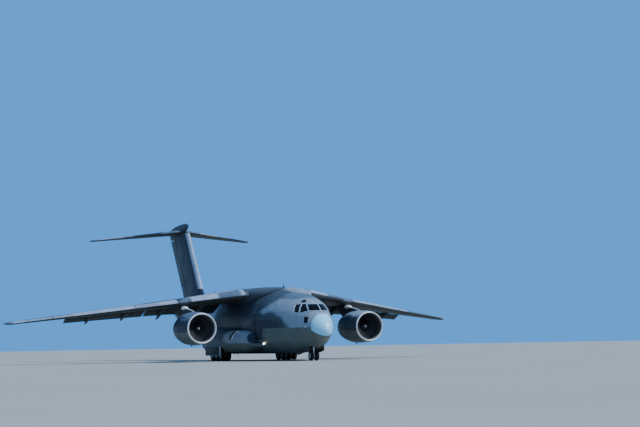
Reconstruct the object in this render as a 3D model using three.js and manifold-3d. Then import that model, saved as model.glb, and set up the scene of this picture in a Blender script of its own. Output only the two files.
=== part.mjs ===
// Military transport aeroplane, a 1:2 scale model, standing on its wheels.
// Units are millimetres of the model. The nose faces -Y, the port side is +X and +Z is up.
// Stations are counted aft from the tip of the nose, heights from the ground.
import * as THREE from "three";
import { mergeVertices } from "three/addons/utils/BufferGeometryUtils.js";
import Module from "manifold-3d";

const wasm = await Module();
wasm.setup();

// Driving dimensions
const length = 21950;
const halfSpan = 11100;
const height = 7100;
const wall = 70;
const gap = 0.3;
const pinGap = 0.8;
const doorGap = 8;
const floorTop = 625;
const rampHinge = 12400;
const far = 30000;

// Colours of the finish, one material for each kind of surface
function finish(color, roughness, metalness) {
  return new THREE.MeshStandardMaterial({ color, roughness, metalness });
}
const upperPaint = finish(0x5f7d9c, 0.55, 0.1);
const darkPaint = finish(0x3d4c5c, 0.6, 0.1);
const radomePaint = finish(0xa8c4dc, 0.45, 0);
const engineMetal = finish(0x5a5550, 0.4, 0.9);
const tyreRubber = finish(0x1c1c1e, 0.9, 0);
const gearPaint = finish(0xd8dadc, 0.5, 0.2);
const windowGlass = finish(0x10161c, 0.1, 0.2);
const cabinGrey = finish(0x6c7276, 0.8, 0);

// Closed meshes and solids
function bare(geometry) {
  const copy = geometry.clone();
  copy.deleteAttribute("normal");
  copy.deleteAttribute("uv");
  return mergeVertices(copy, 1e-3);
}

function solidOf(geometry) {
  const clean = bare(geometry);
  const vertProperties = new Float32Array(clean.attributes.position.array);
  const triVerts = new Uint32Array(clean.index.array);
  return new wasm.Manifold(new wasm.Mesh({ numProp: 3, vertProperties, triVerts }));
}

function geometryOf(solid) {
  const mesh = solid.getMesh();
  const geometry = new THREE.BufferGeometry();
  geometry.setAttribute("position", new THREE.BufferAttribute(new Float32Array(mesh.vertProperties), 3));
  geometry.setIndex(new THREE.BufferAttribute(new Uint32Array(mesh.triVerts), 1));
  return geometry;
}

function join(first, ...others) {
  return geometryOf(others.reduce((sum, other) => sum.add(solidOf(other)), solidOf(first)));
}

function cut(first, ...tools) {
  return geometryOf(tools.reduce((rest, tool) => rest.subtract(solidOf(tool)), solidOf(first)));
}

function common(first, second) {
  return geometryOf(solidOf(first).intersect(solidOf(second)));
}

// Shapes
function box(x0, x1, y0, y1, z0, z1) {
  const geometry = new THREE.BoxGeometry(x1 - x0, y1 - y0, z1 - z0);
  return geometry.translate((x0 + x1) / 2, (y0 + y1) / 2, (z0 + z1) / 2);
}

function signedVolume(points, triangles) {
  const corner = (index) => new THREE.Vector3(...points[index]);
  return triangles.reduce((sum, [a, b, c]) => sum + corner(a).dot(corner(b).cross(corner(c))), 0);
}

// A skin through like rings of points, closed at both ends
function loft(rings) {
  const count = rings[0].length;
  const points = rings.flat();
  const triangles = [];
  for (let i = 0; i + 1 < rings.length; i += 1) {
    for (let j = 0; j < count; j += 1) {
      const a = i * count + j;
      const b = i * count + ((j + 1) % count);
      triangles.push([a, b, b + count], [a, b + count, a + count]);
    }
  }
  const ends = [[0, 1, 0], [rings.length - 1, 0, 1]];
  for (const [ring, first, second] of ends) {
    const middle = [0, 1, 2].map((axis) => rings[ring].reduce((sum, point) => sum + point[axis], 0) / count);
    points.push(middle);
    for (let j = 0; j < count; j += 1) {
      const edge = [ring * count + j, ring * count + ((j + 1) % count)];
      triangles.push([points.length - 1, edge[first], edge[second]]);
    }
  }
  const inward = signedVolume(points, triangles) < 0;
  const order = inward ? triangles.map(([a, b, c]) => [a, c, b]) : triangles;
  const geometry = new THREE.BufferGeometry();
  geometry.setAttribute("position", new THREE.BufferAttribute(new Float32Array(points.flat()), 3));
  geometry.setIndex(order.flat());
  return geometry;
}

// A flat outline given as [x, y] pairs, drawn out from z0 up to z1
function planPrism(outline, z0, z1) {
  const shape = new THREE.Shape(outline.map(([x, y]) => new THREE.Vector2(x, y)));
  const geometry = new THREE.ExtrudeGeometry(shape, { depth: z1 - z0, bevelEnabled: false });
  return geometry.translate(0, 0, z0);
}

// A side outline given as [y, z] pairs, drawn out from x0 to x1
function sidePrism(outline, x0, x1) {
  const shape = new THREE.Shape(outline.map(([y, z]) => new THREE.Vector2(y, z)));
  const geometry = new THREE.ExtrudeGeometry(shape, { depth: x1 - x0, bevelEnabled: false });
  const turn = new THREE.Matrix4().makeBasis(
    new THREE.Vector3(0, 1, 0), new THREE.Vector3(0, 0, 1), new THREE.Vector3(1, 0, 0));
  return geometry.applyMatrix4(turn).translate(x0, 0, 0);
}

// A round body about the Y axis, from [radius, y] pairs
function turned(profile, segments) {
  return new THREE.LatheGeometry(profile.map(([r, y]) => new THREE.Vector2(r, y)), segments);
}

// A round bar between two points, with a radius at each
function bar(from, to, r0, r1, segments = 12) {
  const start = new THREE.Vector3(...from);
  const end = new THREE.Vector3(...to);
  const span = end.clone().sub(start);
  const geometry = new THREE.CylinderGeometry(r1, r0, span.length(), segments);
  const aim = span.clone().normalize();
  const turn = new THREE.Quaternion().setFromUnitVectors(new THREE.Vector3(0, 1, 0), aim);
  const middle = start.add(end).multiplyScalar(0.5);
  return geometry.applyQuaternion(turn).translate(middle.x, middle.y, middle.z);
}

// Straight interpolation in a table whose first column is the station
function at(table, station) {
  const next = Math.max(1, table.findIndex((row) => row[0] >= station));
  const [low, high] = [table[next - 1], table[next]];
  const share = (station - low[0]) / (high[0] - low[0]);
  return low.map((value, column) => value + (high[column] - value) * share);
}

// Fuselage sections: station, half width, top, bottom, height of the widest place, lower power
const body = [
  [500, 450, 1935, 825, 1375, 2],
  [725, 535, 2110, 742, 1410, 2],
  [1145, 690, 2428, 602, 1480, 2.1],
  [1650, 860, 2640, 490, 1560, 2.2],
  [2300, 1040, 2810, 400, 1650, 2.4],
  [3200, 1225, 2965, 335, 1740, 2.6],
  [4250, 1365, 3110, 310, 1790, 2.8],
  [5300, 1415, 3210, 310, 1798, 2.95],
  [6500, 1430, 3275, 310, 1800, 3],
  [11200, 1430, 3275, 310, 1800, 3],
  [12400, 1430, 3265, 325, 1810, 3],
  [13800, 1405, 3265, 725, 1960, 2.8],
  [15000, 1350, 3270, 1050, 2110, 2.6],
  [16300, 1240, 3260, 1425, 2290, 2.4],
  [17500, 1080, 3220, 1800, 2460, 2.2],
  [18525, 880, 3160, 2100, 2600, 2],
  [19450, 600, 3060, 2375, 2720, 2],
  [20155, 60, 2800, 2740, 2770, 2],
];
const ringPoints = 28;

function bodyRing(station, grow) {
  const [, halfWidth, top, bottom, middle, power] = at(body, station);
  const ring = [];
  for (let i = 0; i < ringPoints; i += 1) {
    const angle = (i / ringPoints) * 2 * Math.PI;
    const [c, s] = [Math.cos(angle), Math.sin(angle)];
    const exponent = s < 0 ? 2 / power : 1;
    const reach = s < 0 ? middle - bottom + grow : top - middle + grow;
    const x = (halfWidth + grow) * Math.sign(c) * Math.abs(c) ** exponent;
    ring.push([x, station, middle + reach * Math.sign(s) * Math.abs(s) ** exponent]);
  }
  return ring;
}

function bodyLoft(from, to, grow) {
  const inner = body.map((row) => row[0]).filter((station) => station > from + 1 && station < to - 1);
  return loft([from, ...inner, to].map((station) => bodyRing(station, grow)));
}

// A tube of the fuselage between two depths below its skin, open at both ends
function bodyTube(from, to, outside, inside) {
  const over = 5;
  const inner = body.map((row) => row[0]).filter((station) => station > from + 1 && station < to - 1);
  const rings = [from, ...inner, to].map((station) => bodyRing(station, -inside));
  const before = rings[0].map(([x, y, z]) => [x, y - over, z]);
  const beyond = rings.at(-1).map(([x, y, z]) => [x, y + over, z]);
  const hollow = loft([before, ...rings, beyond]);
  return cut(bodyLoft(from, to, -outside), hollow);
}

function bodyShell(from, to) {
  return bodyTube(from, to, 0, wall);
}

// The whole skin, a little larger, cuts what rests on it, and its inside trims what stands in it
const tailStart = 18525;
const skinTool = bodyLoft(body[0][0], body.at(-1)[0], gap);
const insideTool = bodyLoft(body[0][0], tailStart, -wall - gap);

// Everything is hung in one group that carries stations to their place
const aircraft = new THREE.Group();
const airframe = new THREE.Group();
airframe.position.y = -length / 2;
aircraft.add(airframe);

function add(name, geometry, material, place = [0, 0, 0], turn = [0, 0, 0]) {
  const mesh = new THREE.Mesh(geometry, material);
  mesh.name = name;
  mesh.position.set(...place);
  mesh.rotation.set(...turn);
  airframe.add(mesh);
}

const sides = [["left", 1], ["right", -1]];

// Radome: a rounded cone with a slightly raised middle
const radomeSeam = 500;
const radomeTip = 1325;
function radome() {
  const seam = bodyRing(radomeSeam, 0);
  const seamMiddle = body[0][4];
  const shares = [0.02, 0.08, 0.18, 0.32, 0.5, 0.75, 1];
  const rings = shares.map((share) => {
    const swell = Math.sqrt(share);
    const middle = radomeTip + (seamMiddle - radomeTip) * share;
    return seam.map(([x, , z]) => [x * swell, radomeSeam * share, middle + (z - seamMiddle) * swell]);
  });
  const tip = rings[0].map(([x, , z]) => [x * 0.05, 0, radomeTip + (z - radomeTip) * 0.05]);
  return loft([tip, ...rings]);
}
add("radome", radome(), radomePaint);

// Nose shell with the flight deck, its windows cut as slots between posts
const noseEnd = 3200;
const noseStart = radomeSeam + gap;
const wellFront = 1250;
const wellRear = 2560;
const wellHalf = 335;

// Windows: name, corners as [x, station, height] from low front round to high front, on the port side
const windowSill = 2075;
const windowHead = 2400;
const windscreen = [[25, 640], [25, 1400], [480, 1400], [425, 640]];
const sideWindows = [
  [[860, 2080], [1150, 2080], [1180, 2390], [1010, 2390]],
  [[1210, 2060], [1560, 2060], [1530, 2375], [1240, 2390]],
];
const cheekWindow = [[830, 1610], [1010, 1640], [1060, 1900], [880, 1890]];
const browWindow = [[1110, 2460], [1290, 2470], [1310, 2540], [1210, 2560]];

function windowTools() {
  const tools = [];
  for (const [, side] of sides) {
    const plan = windscreen.map(([x, y]) => [x * side, y]);
    const slab = planPrism(side > 0 ? plan : plan.reverse(), windowSill, windowHead);
    tools.push(slab);
    for (const outline of [...sideWindows, cheekWindow, browWindow]) {
      tools.push(side > 0 ? sidePrism(outline, 200, 2000) : sidePrism(outline, -2000, -200));
    }
  }
  return tools;
}

const noseOpening = box(-wellHalf, wellHalf, wellFront, wellRear, -10, 800);
add("nose_shell", cut(bodyShell(noseStart, noseEnd), ...windowTools(), noseOpening), upperPaint);

// Glazing: one curved band just inside the nose shell
const glassThick = 14;
function glazingBand() {
  const tube = bodyTube(noseStart, 1650, wall + gap, wall + gap + glassThick);
  return common(tube, box(-far, far, 600, far, 1580, 2620));
}
add("flight_deck_glazing", glazingBand(), windowGlass);

// Flight deck floor with the bulkhead behind it, panel and seats
const deckTop = 1500;
const deckThick = 50;
function deck() {
  const plate = box(-far, far, 620, 3150, deckTop - deckThick, deckTop);
  const bulkhead = box(-far, far, 3100, 3150, deckTop - 5, 2700);
  const doorway = box(-200, 200, 3000, 3200, deckTop, 2450);
  return common(join(plate, cut(bulkhead, doorway)), insideTool);
}
add("flight_deck_floor", deck(), cabinGrey);

function panel() {
  const outline = [[900, deckTop + gap], [1080, deckTop + gap], [1080, 1900], [1010, 2010], [900, 1960]];
  const block = sidePrism(outline, -420, 420);
  return common(block, bodyLoft(body[0][0], noseEnd, -wall - glassThick - 30));
}
add("instrument_panel", panel(), cabinGrey);

function seats() {
  const rail = box(-420, 420, 1420, 1700, deckTop + gap, deckTop + 40);
  const parts = [rail];
  for (const x of [-270, 270]) {
    parts.push(box(x - 60, x + 60, 1450, 1650, deckTop + 30, deckTop + 190));
    parts.push(box(x - 125, x + 125, 1400, 1670, deckTop + 180, deckTop + 260));
    parts.push(box(x - 120, x + 120, 1640, 1710, deckTop + 230, deckTop + 640));
    parts.push(box(x - 60, x + 60, 1650, 1700, deckTop + 630, deckTop + 760));
  }
  return join(...parts);
}
add("pilot_seats", seats(), cabinGrey);

// Forward fuselage with the crew door on the port side
const crewDoor = { front: 3465, rear: 3865, sill: 650, head: 1620 };
const forwardEnd = 5300;
function crewDoorBox(shrink) {
  const { front, rear, sill, head } = crewDoor;
  return box(600, far, front + shrink, rear - shrink, sill + shrink, head - shrink);
}
// The door hangs on a bar along its sill, just outside the skin
const crewHinge = { x: 1010, z: 646, radius: 14, inset: 40, straps: [3535, 3765], strapWide: 30 };
function crewHingeBar(grow) {
  const { x, z, radius, inset } = crewHinge;
  const [front, rear] = [crewDoor.front + inset - grow, crewDoor.rear - inset + grow];
  return bar([x, front, z], [x, rear, z], radius + grow, radius + grow, 16);
}
const forwardShell = bodyShell(noseEnd + gap, forwardEnd);
add("forward_fuselage", cut(forwardShell, crewDoorBox(0), crewHingeBar(pinGap)), upperPaint);
function crewDoorPiece() {
  const { x, z, straps, strapWide } = crewHinge;
  const hung = straps.map((y) => box(x - 60, x + 8, y, y + strapWide, crewDoor.sill + 2, z + 46));
  return join(common(forwardShell, crewDoorBox(doorGap)), crewHingeBar(0), ...hung);
}
add("crew_door", crewDoorPiece(), upperPaint);

// Wing sections: x, leading edge station, leading edge height, chord, thickness share, nose-up share
const wing = [
  [1565, 5575, 2940, 4330, 0.145, 0.05],
  [4000, 6985, 2660, 3000, 0.125, 0.035],
  [7500, 9011, 2256, 2080, 0.115, 0.02],
  [11100, 11095, 1840, 1150, 0.105, 0],
];
const camber = 0.015;
const chordShares = [0.015, 0.07, 0.2, 0.4, 0.62, 0.82, 1];

function thicknessAt(share) {
  return 5 * (0.2969 * Math.sqrt(share) - 0.126 * share - 0.3516 * share ** 2
    + 0.2843 * share ** 3 - 0.1015 * share ** 4);
}

// Points round a section as [aft, up] pairs, from the nose over the top and back below
function section(chord, thickness, bend, droop, grow = 0) {
  const upper = chordShares.map((share) => [share, 1]);
  const lower = [...chordShares].reverse().map((share) => [share, -1]);
  return [[0, 0], ...upper, ...lower].map(([share, side]) => {
    const half = thicknessAt(share) * thickness * chord + (side === 0 ? 0 : 1.5 + grow);
    const middle = 4 * bend * chord * share * (1 - share) - droop * chord * share;
    const stretch = share === 1 ? grow : 0;
    return [share * chord + stretch - (share === 0 ? grow : 0), middle + side * half];
  });
}

function wingRing(x, side, grow) {
  const [, lead, rise, chord, thickness, droop] = at(wing, x);
  return section(chord, thickness, camber, droop, grow).map(([aft, up]) => [side * x, lead + aft, rise + up]);
}

function wingLoft(from, to, side, grow = 0) {
  const inner = wing.map((row) => row[0]).filter((x) => x > from + 1 && x < to - 1);
  return loft([from, ...inner, to].map((x) => wingRing(x, side, grow)));
}

// Everything between two distances from the middle plane, on one side
function slab(from, to, side) {
  return side > 0 ? box(from, to, -far, far, -far, far) : box(-to, -from, -far, far, -far, far);
}

// A strip of the wing in plan, from a share of the chord to behind the trailing edge
function chordwise(table, from, to, share, ahead, side) {
  const line = (x) => {
    const [, lead, , chord] = at(table, x);
    return lead + share * chord - ahead;
  };
  const inner = table.map((row) => row[0]).filter((x) => x > from && x < to);
  const front = [from, ...inner, to].map((x) => [side * x, line(x)]);
  const outline = [...front, [side * to, far], [side * from, far]];
  return planPrism(side > 0 ? outline : outline.reverse(), -far, far);
}

// Centre wing: the carry-through with its fairing, let into the fuselage roof
const wingRoot = wing[0][0];
const notch = { front: 5301, rear: 10200, floor: 2650 };
const fairing = [
  [4700, 650, 3190, 2900],
  [5100, 1150, 3250, 2700],
  [5600, 1450, 3285, 2560],
  [6300, 1562, 3305, 2480],
  [9500, 1562, 3305, 2480],
  [10500, 1250, 3290, 2600],
  [11500, 650, 3280, 2900],
];
function fairingRing([station, halfWidth, top, bottom]) {
  const ring = [];
  for (let i = 0; i < 28; i += 1) {
    const angle = (i / 28) * 2 * Math.PI;
    const [c, s] = [Math.cos(angle), Math.sin(angle)];
    const x = halfWidth * Math.sign(c) * Math.abs(c) ** 0.75;
    ring.push([x, station, (top + bottom) / 2 + ((top - bottom) / 2) * Math.sign(s) * Math.abs(s) ** 0.75]);
  }
  return ring;
}
function centreWing() {
  const rootSection = section(wing[0][3], wing[0][4], camber, wing[0][5]);
  const rootAt = (x) => rootSection.map(([aft, up]) => [x, wing[0][1] + aft, wing[0][2] + up]);
  const carry = loft([rootAt(-wingRoot), rootAt(wingRoot)]);
  const opening = box(-far, far, notch.front, notch.rear, notch.floor, far);
  const roof = common(bodyLoft(body[0][0], rampHinge, 0), opening);
  const under = cut(skinTool, opening);
  const whole = join(carry, loft(fairing.map(fairingRing)), roof);
  return cut(whole, under, box(-1500, 1500, notch.front - 5, notch.rear + 5, 0, notch.floor));
}
add("wing_centre", centreWing(), upperPaint);

const notchTool = box(-far, far, notch.front - gap, notch.rear + gap, notch.floor - gap, far);
add("centre_fuselage", cut(bodyShell(forwardEnd + gap, rampHinge), notchTool), upperPaint);

// Wings with ailerons and flaps: zones as from, to along the span and the share of chord where they start
const aileronZone = {
  from: 8480, to: 10800, share: 0.74, clear: 60, tube: [45, 25], fingers: [8700, 9640, 10580],
};
const flapZones = [
  { name: "flap_inner", from: 1640, to: 4960, share: 0.72 },
  { name: "flap_outer", from: 5010, to: 8430, share: 0.72 },
];
const flapAngle = 0.42;
// Track fairings: distance from the middle plane, and how far the tail hangs below the leading edge
const flapTracks = [[2650, 820], [4325, 700], [5900, 540], [7450, 480]];
const canoe = [
  [0, 12, 20],
  [0.15, 48, 70],
  [0.45, 62, 95],
  [0.75, 52, 80],
  [1, 10, 18],
];

function trackFairing([x, drop], side) {
  const [, lead, rise, chord, , droop] = at(wing, x);
  const from = lead + 0.46 * chord;
  const to = lead + 1.02 * chord + 150;
  const start = rise - (0.5 * droop + 0.03) * chord;
  const end = rise - drop + 30;
  const whole = loft(canoe.map(([share, half, deep]) => {
    const ring = [];
    for (let i = 0; i < 10; i += 1) {
      const angle = (i / 10) * 2 * Math.PI;
      const spread = Math.sin(angle) > 0.01 ? deep + 130 * Math.sin(Math.PI * share) : deep;
      const z = start + (end - start) * share ** 1.3 + Math.sin(angle) * spread;
      ring.push([side * x + Math.cos(angle) * half, from + (to - from) * share, z]);
    }
    return ring;
  }));
  const lifts = [60, 120, 180];
  const above = flapZones.flatMap((zone) => lifts.map((up) => flap(zone, side, gap).translate(0, 0, up)));
  return cut(whole, ...above);
}

function flap({ from, to, share }, side, grow = 0) {
  const ring = (x) => {
    const [, lead, rise, chord, thickness, droop] = at(wing, x);
    const hingeY = lead + chord * share + 90;
    const hingeZ = rise - droop * chord * share - 55;
    return section(chord * (1 - share) * 1.02, thickness * 0.95, 0.01, 0, grow).map(([aft, up]) => [
      side * x,
      hingeY + aft * Math.cos(flapAngle) + up * Math.sin(flapAngle),
      hingeZ - aft * Math.sin(flapAngle) + up * Math.cos(flapAngle),
    ]);
  };
  const inner = wing.map((row) => row[0]).filter((x) => x > from && x < to);
  return loft([from + doorGap - grow, ...inner, to - doorGap + grow].map(ring));
}

function hingePoint(table, x, share, side, bend = camber) {
  const [, lead, rise, chord, , droop] = at(table, x);
  const up = 4 * bend * chord * share * (1 - share) - droop * chord * share;
  return [side * x, lead + share * chord, rise + up];
}

// Fingers that reach from the fixed surface back to the round hinge tube
const finger = { wide: 15, deep: 14, root: 25 };
function fingers(table, zone, side, bend) {
  return zone.fingers.map((place) => {
    const [x, y, z] = hingePoint(table, place, zone.share, side, bend);
    const { wide, deep, root } = finger;
    return box(x - wide, x + wide, y - zone.clear - root, y, z - deep, z + deep);
  });
}

const tubeOver = 100;
function hingeTube(table, zone, side, bend, grow = 0) {
  const from = hingePoint(table, zone.from - tubeOver, zone.share, side, bend);
  const to = hingePoint(table, zone.to + tubeOver, zone.share, side, bend);
  return bar(from, to, zone.tube[0] + grow, zone.tube[1] + grow, 24);
}

function hingedBlade(table, zone, side, bend, whole) {
  const blade = common(whole, chordwise(table, zone.from + doorGap, zone.to - doorGap, zone.share, 0, side));
  const tube = common(hingeTube(table, zone, side, bend), slab(zone.from + doorGap, zone.to - doorGap, side));
  return join(blade, tube);
}

for (const [name, side] of sides) {
  const full = wingLoft(wingRoot + gap, halfSpan, side);
  const tools = flapZones.map(({ from, to, share }) => chordwise(wing, from, to, share, 0, side));
  tools.push(chordwise(wing, aileronZone.from, aileronZone.to, aileronZone.share, aileronZone.clear, side));
  const hung = flapTracks.map((track) => trackFairing(track, side));
  const holders = fingers(wing, aileronZone, side, camber);
  const flaps = flapZones.map((zone) => flap(zone, side, gap));
  const tubeTool = hingeTube(wing, aileronZone, side, camber, pinGap);
  add(`wing_${name}`, cut(join(cut(full, ...tools), ...hung, ...holders), ...flaps, tubeTool), upperPaint);
  add(`aileron_${name}`, hingedBlade(wing, aileronZone, side, camber, full), upperPaint);
  for (const zone of flapZones) {
    add(`${zone.name}_${name}`, flap(zone, side), upperPaint);
  }
}

// Cargo floor, from the nose bulkhead back to the hinge bar of the ramp
const rampPin = { y: rampHinge + 5, z: 592, radius: 25, half: 880 };
function cargoFloor() {
  const plate = box(-far, far, 3250, rampPin.y - rampPin.radius - gap, floorTop - 60, floorTop);
  return common(plate, insideTool);
}
add("cargo_floor", cargoFloor(), cabinGrey);

// Aft fuselage with the ramp, the cargo door, and a jump door on each side
const rampEnd = 15400;
const rampHalf = 980;
const aftDoorEnd = 18200;
const aftDoorHalf = [950, 620];
const aftEnd = 18525;
const jumpDoor = { front: 12700, rear: 13150, sill: 760, head: 1700 };
const rampRearTop = 1330;
// The seam between ramp and cargo door leans back toward the ground, so each swings away from the other
const seamLean = 0.5;
function seamAt(z) {
  return rampEnd - seamLean * (z - rampRearTop + 100);
}
const rampOutline = [
  [rampPin.y, floorTop - 10], [seamAt(rampRearTop) - doorGap, rampRearTop], [seamAt(0) - doorGap, 0],
  [rampHinge + 300, 0], [rampPin.y, rampPin.z],
];
const aftDoorPin = { y: aftDoorEnd - 20.3, z: 2052, radius: 20, half: 480 };
// Above its hinge the rear edge leans forward, to stay out of the frame when the door is up
const aftDoorOutline = [
  [seamAt(rampRearTop) + doorGap, rampRearTop], [aftDoorPin.y - 45, 2150], [aftDoorPin.y, aftDoorPin.z + 30],
  [aftDoorPin.y, 0], [seamAt(0) + doorGap, 0],
];

function doorPlan(front, rear, halfFront, halfRear, shrink) {
  const outline = [
    [-halfFront + shrink, front + shrink], [halfFront - shrink, front + shrink],
    [halfRear - shrink, rear - shrink], [-halfRear + shrink, rear - shrink],
  ];
  return planPrism(outline, -far, far);
}

const aftShell = bodyShell(rampHinge + gap, aftEnd);
const rampHole = common(
  sidePrism([[rampHinge - 50, 1200], [rampEnd, 1900], [rampEnd, -50], [rampHinge - 50, -50]], -far, far),
  doorPlan(rampHinge - 50, rampEnd, rampHalf, rampHalf, 0));
const aftDoorHole = common(
  sidePrism([[rampEnd - 1, 2000], [aftDoorEnd, 2450], [aftDoorEnd, 0], [rampEnd - 1, 0]], -far, far),
  doorPlan(rampEnd - 1, aftDoorEnd, aftDoorHalf[0], aftDoorHalf[1], 0));
function jumpDoorBox(side, shrink) {
  const { front, rear, sill, head } = jumpDoor;
  const [low, high] = side > 0 ? [1000, far] : [-far, -1000];
  return box(low, high, front + shrink, rear - shrink, sill + shrink, head - shrink);
}
add("aft_fuselage", cut(aftShell, rampHole, aftDoorHole, jumpDoorBox(1, 0), jumpDoorBox(-1, 0)), upperPaint);
for (const [name, side] of sides) {
  add(`jump_door_${name}`, common(aftShell, jumpDoorBox(side, gap)), upperPaint);
}
const aftSolid = bodyLoft(rampHinge + gap, aftEnd, 0);
const rampSides = doorPlan(rampHinge, rampEnd + 700, rampHalf, rampHalf, doorGap);
function rampPiece() {
  const panel = common(common(aftSolid, sidePrism([...rampOutline].reverse(), -far, far)), rampSides);
  const { y, z, radius, half } = rampPin;
  return join(panel, bar([-half, y, z], [half, y, z], radius, radius, 24));
}
add("loading_ramp", rampPiece(), darkPaint);
const aftDoorSides = doorPlan(rampEnd - 60, aftDoorEnd, aftDoorHalf[0], aftDoorHalf[1], doorGap);
function aftDoorPiece() {
  const panel = common(common(aftSolid, sidePrism([...aftDoorOutline].reverse(), -far, far)), aftDoorSides);
  const { y, z, radius, half } = aftDoorPin;
  return join(panel, bar([-half, y, z], [half, y, z], radius, radius, 24));
}
add("aft_cargo_door", aftDoorPiece(), darkPaint);
// The hold goes on into the tail cone as far as there is room
const coneRoom = bodyLoft(aftEnd - 20, body.at(-2)[0], -wall);
add("tail_cone", cut(bodyLoft(aftEnd + gap, body.at(-1)[0], 0), coneRoom), upperPaint);

// Fin: height, leading edge station, chord, thickness share
const fin = [
  [3000, 15700, 3450, 0.11],
  [3500, 16245, 3180, 0.115],
  [6600, 18381, 3160, 0.1],
];
const finShare = 0.68;
function finAt(z) {
  return at(fin, z);
}
function finRing(z, grow = 0) {
  const [, lead, chord, thickness] = finAt(z);
  return section(chord, thickness, 0, 0, grow).map(([aft, across]) => [across, lead + aft, z]);
}
const finLoft = loft(fin.map((row) => finRing(row[0])));
// Fin and tailplane are hollow between their spars
const sparShares = [0.07, 0.2, 0.38, 0.58];
const tailWall = 18;
function sparRoom(chord, thickness) {
  const upper = sparShares.map((share) => [share * chord, thicknessAt(share) * thickness * chord - tailWall]);
  return [...upper, ...upper.map(([aft, across]) => [aft, -across]).reverse()];
}
const finRoom = loft([[fin[0][0], -20], [fin[1][0], 0], [6480, 0]].map(([place, shift]) => {
  const [, lead, chord, thickness] = finAt(place);
  return sparRoom(chord, thickness).map(([aft, across]) => [across, lead + aft, place + shift]);
}));
const finTool = loft(fin.map((row) => finRing(row[0], gap)));
const rudderZone = { from: 3760, to: 6340, clear: 112, foot: 31, head: 31, slope: 0.022 };
function finStrip(from, to, ahead) {
  const line = (z) => finAt(z)[1] + finShare * finAt(z)[2] - ahead;
  return sidePrism([[line(from), from], [line(to), to], [far, to], [far, from]].reverse(), -far, far);
}
const rudderTube = [80, 70];
function finHinge(z) {
  return [0, finAt(z)[1] + finShare * finAt(z)[2], z];
}
function rudderBar(grow) {
  const [low, high] = [finHinge(rudderZone.from - tubeOver), finHinge(rudderZone.to + tubeOver)];
  return bar(low, high, rudderTube[0] + grow, rudderTube[1] + grow, 24);
}
function finPiece() {
  const holders = [4000, 5050, 6150].map((height) => {
    const [, y, z] = finHinge(height);
    return box(-20, 20, y - rudderZone.clear - finger.root, y, z - finger.wide, z + finger.wide);
  });
  const fixed = cut(finLoft, skinTool, finStrip(rudderZone.from, rudderZone.to, rudderZone.clear));
  return cut(join(fixed, ...holders), rudderBar(pinGap), finRoom);
}
function rudder() {
  // The hinge leans back, so a turning rudder dips and climbs: its ends keep clear of the fin
  const { from, to, foot, head, slope } = rudderZone;
  const [low, high] = [finHinge(from)[1], finHinge(to)[1]];
  const ends = sidePrism([
    [low - 500, from + foot], [low, from + foot], [low + 1000, from + foot - 1000 * slope],
    [far, from + foot - 1000 * slope], [far, to - head - 1500 * slope],
    [high, to - head], [high - 500, to - head], [low - 500, to - head],
  ].reverse(), -far, far);
  return common(join(common(finLoft, finStrip(from - 100, to, 0)), rudderBar(0)), ends);
}
add("fin", finPiece(), upperPaint);
add("rudder", rudder(), upperPaint);

// Tailplane on its bullet, with elevators
const tail = [
  [0, 19000, 6680, 2500, 0.11, 0],
  [4320, 21150, 6310, 800, 0.1, 0],
];
const elevatorZone = {
  from: 300, to: 4180, share: 0.7, clear: 62, tube: [50, 22], fingers: [520, 2200, 3900],
};
function tailRing(x, side) {
  const [, lead, rise, chord, thickness, droop] = at(tail, x);
  return section(chord, thickness, 0, droop).map(([aft, up]) => [side * x, lead + aft, rise + up]);
}
const bullet = [
  [18400, 20, 6965, 6925],
  [18700, 130, 7085, 6780],
  [19300, 195, height, 6601],
  [20400, 200, 7030, 6601],
  [21200, 120, 6920, 6640],
  [21500, 20, 6850, 6810],
];
function bulletRing([station, halfWidth, top, bottom]) {
  const ring = [];
  for (let i = 0; i < 16; i += 1) {
    const angle = (i / 16) * 2 * Math.PI;
    const z = (top + bottom) / 2 + ((top - bottom) / 2) * Math.sin(angle);
    ring.push([halfWidth * Math.cos(angle), station, z]);
  }
  return ring;
}
function tailplane() {
  const both = loft([tailRing(4320, -1), tailRing(0, 1), tailRing(4320, 1)]);
  const tools = sides.map(([, side]) => {
    const { from, to, share, clear } = elevatorZone;
    return chordwise(tail, from, to, share, clear, side);
  });
  const finTop = box(-far, far, 0, far, 0, fin[2][0] + gap);
  const holders = sides.flatMap(([, side]) => fingers(tail, elevatorZone, side, 0));
  const tubes = sides.map(([, side]) => hingeTube(tail, elevatorZone, side, 0, pinGap));
  const crown = cut(loft(bullet.map(bulletRing)), finTop);
  const room = loft([[-3900, -1], [0, 1], [3900, 1]].map(([x, side]) => {
    const [, lead, rise, chord, thickness] = at(tail, Math.abs(x));
    return sparRoom(chord, thickness).map(([aft, up]) => [side * Math.abs(x), lead + aft, rise + up]);
  }));
  return cut(join(cut(both, ...tools), crown, ...holders), ...tubes, finTool, room);
}
add("tailplane", tailplane(), upperPaint);
for (const [name, side] of sides) {
  const half = loft([tailRing(0, side), tailRing(4320, side)]);
  add(`elevator_${name}`, hingedBlade(tail, elevatorZone, side, 0, half), upperPaint);
}

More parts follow.
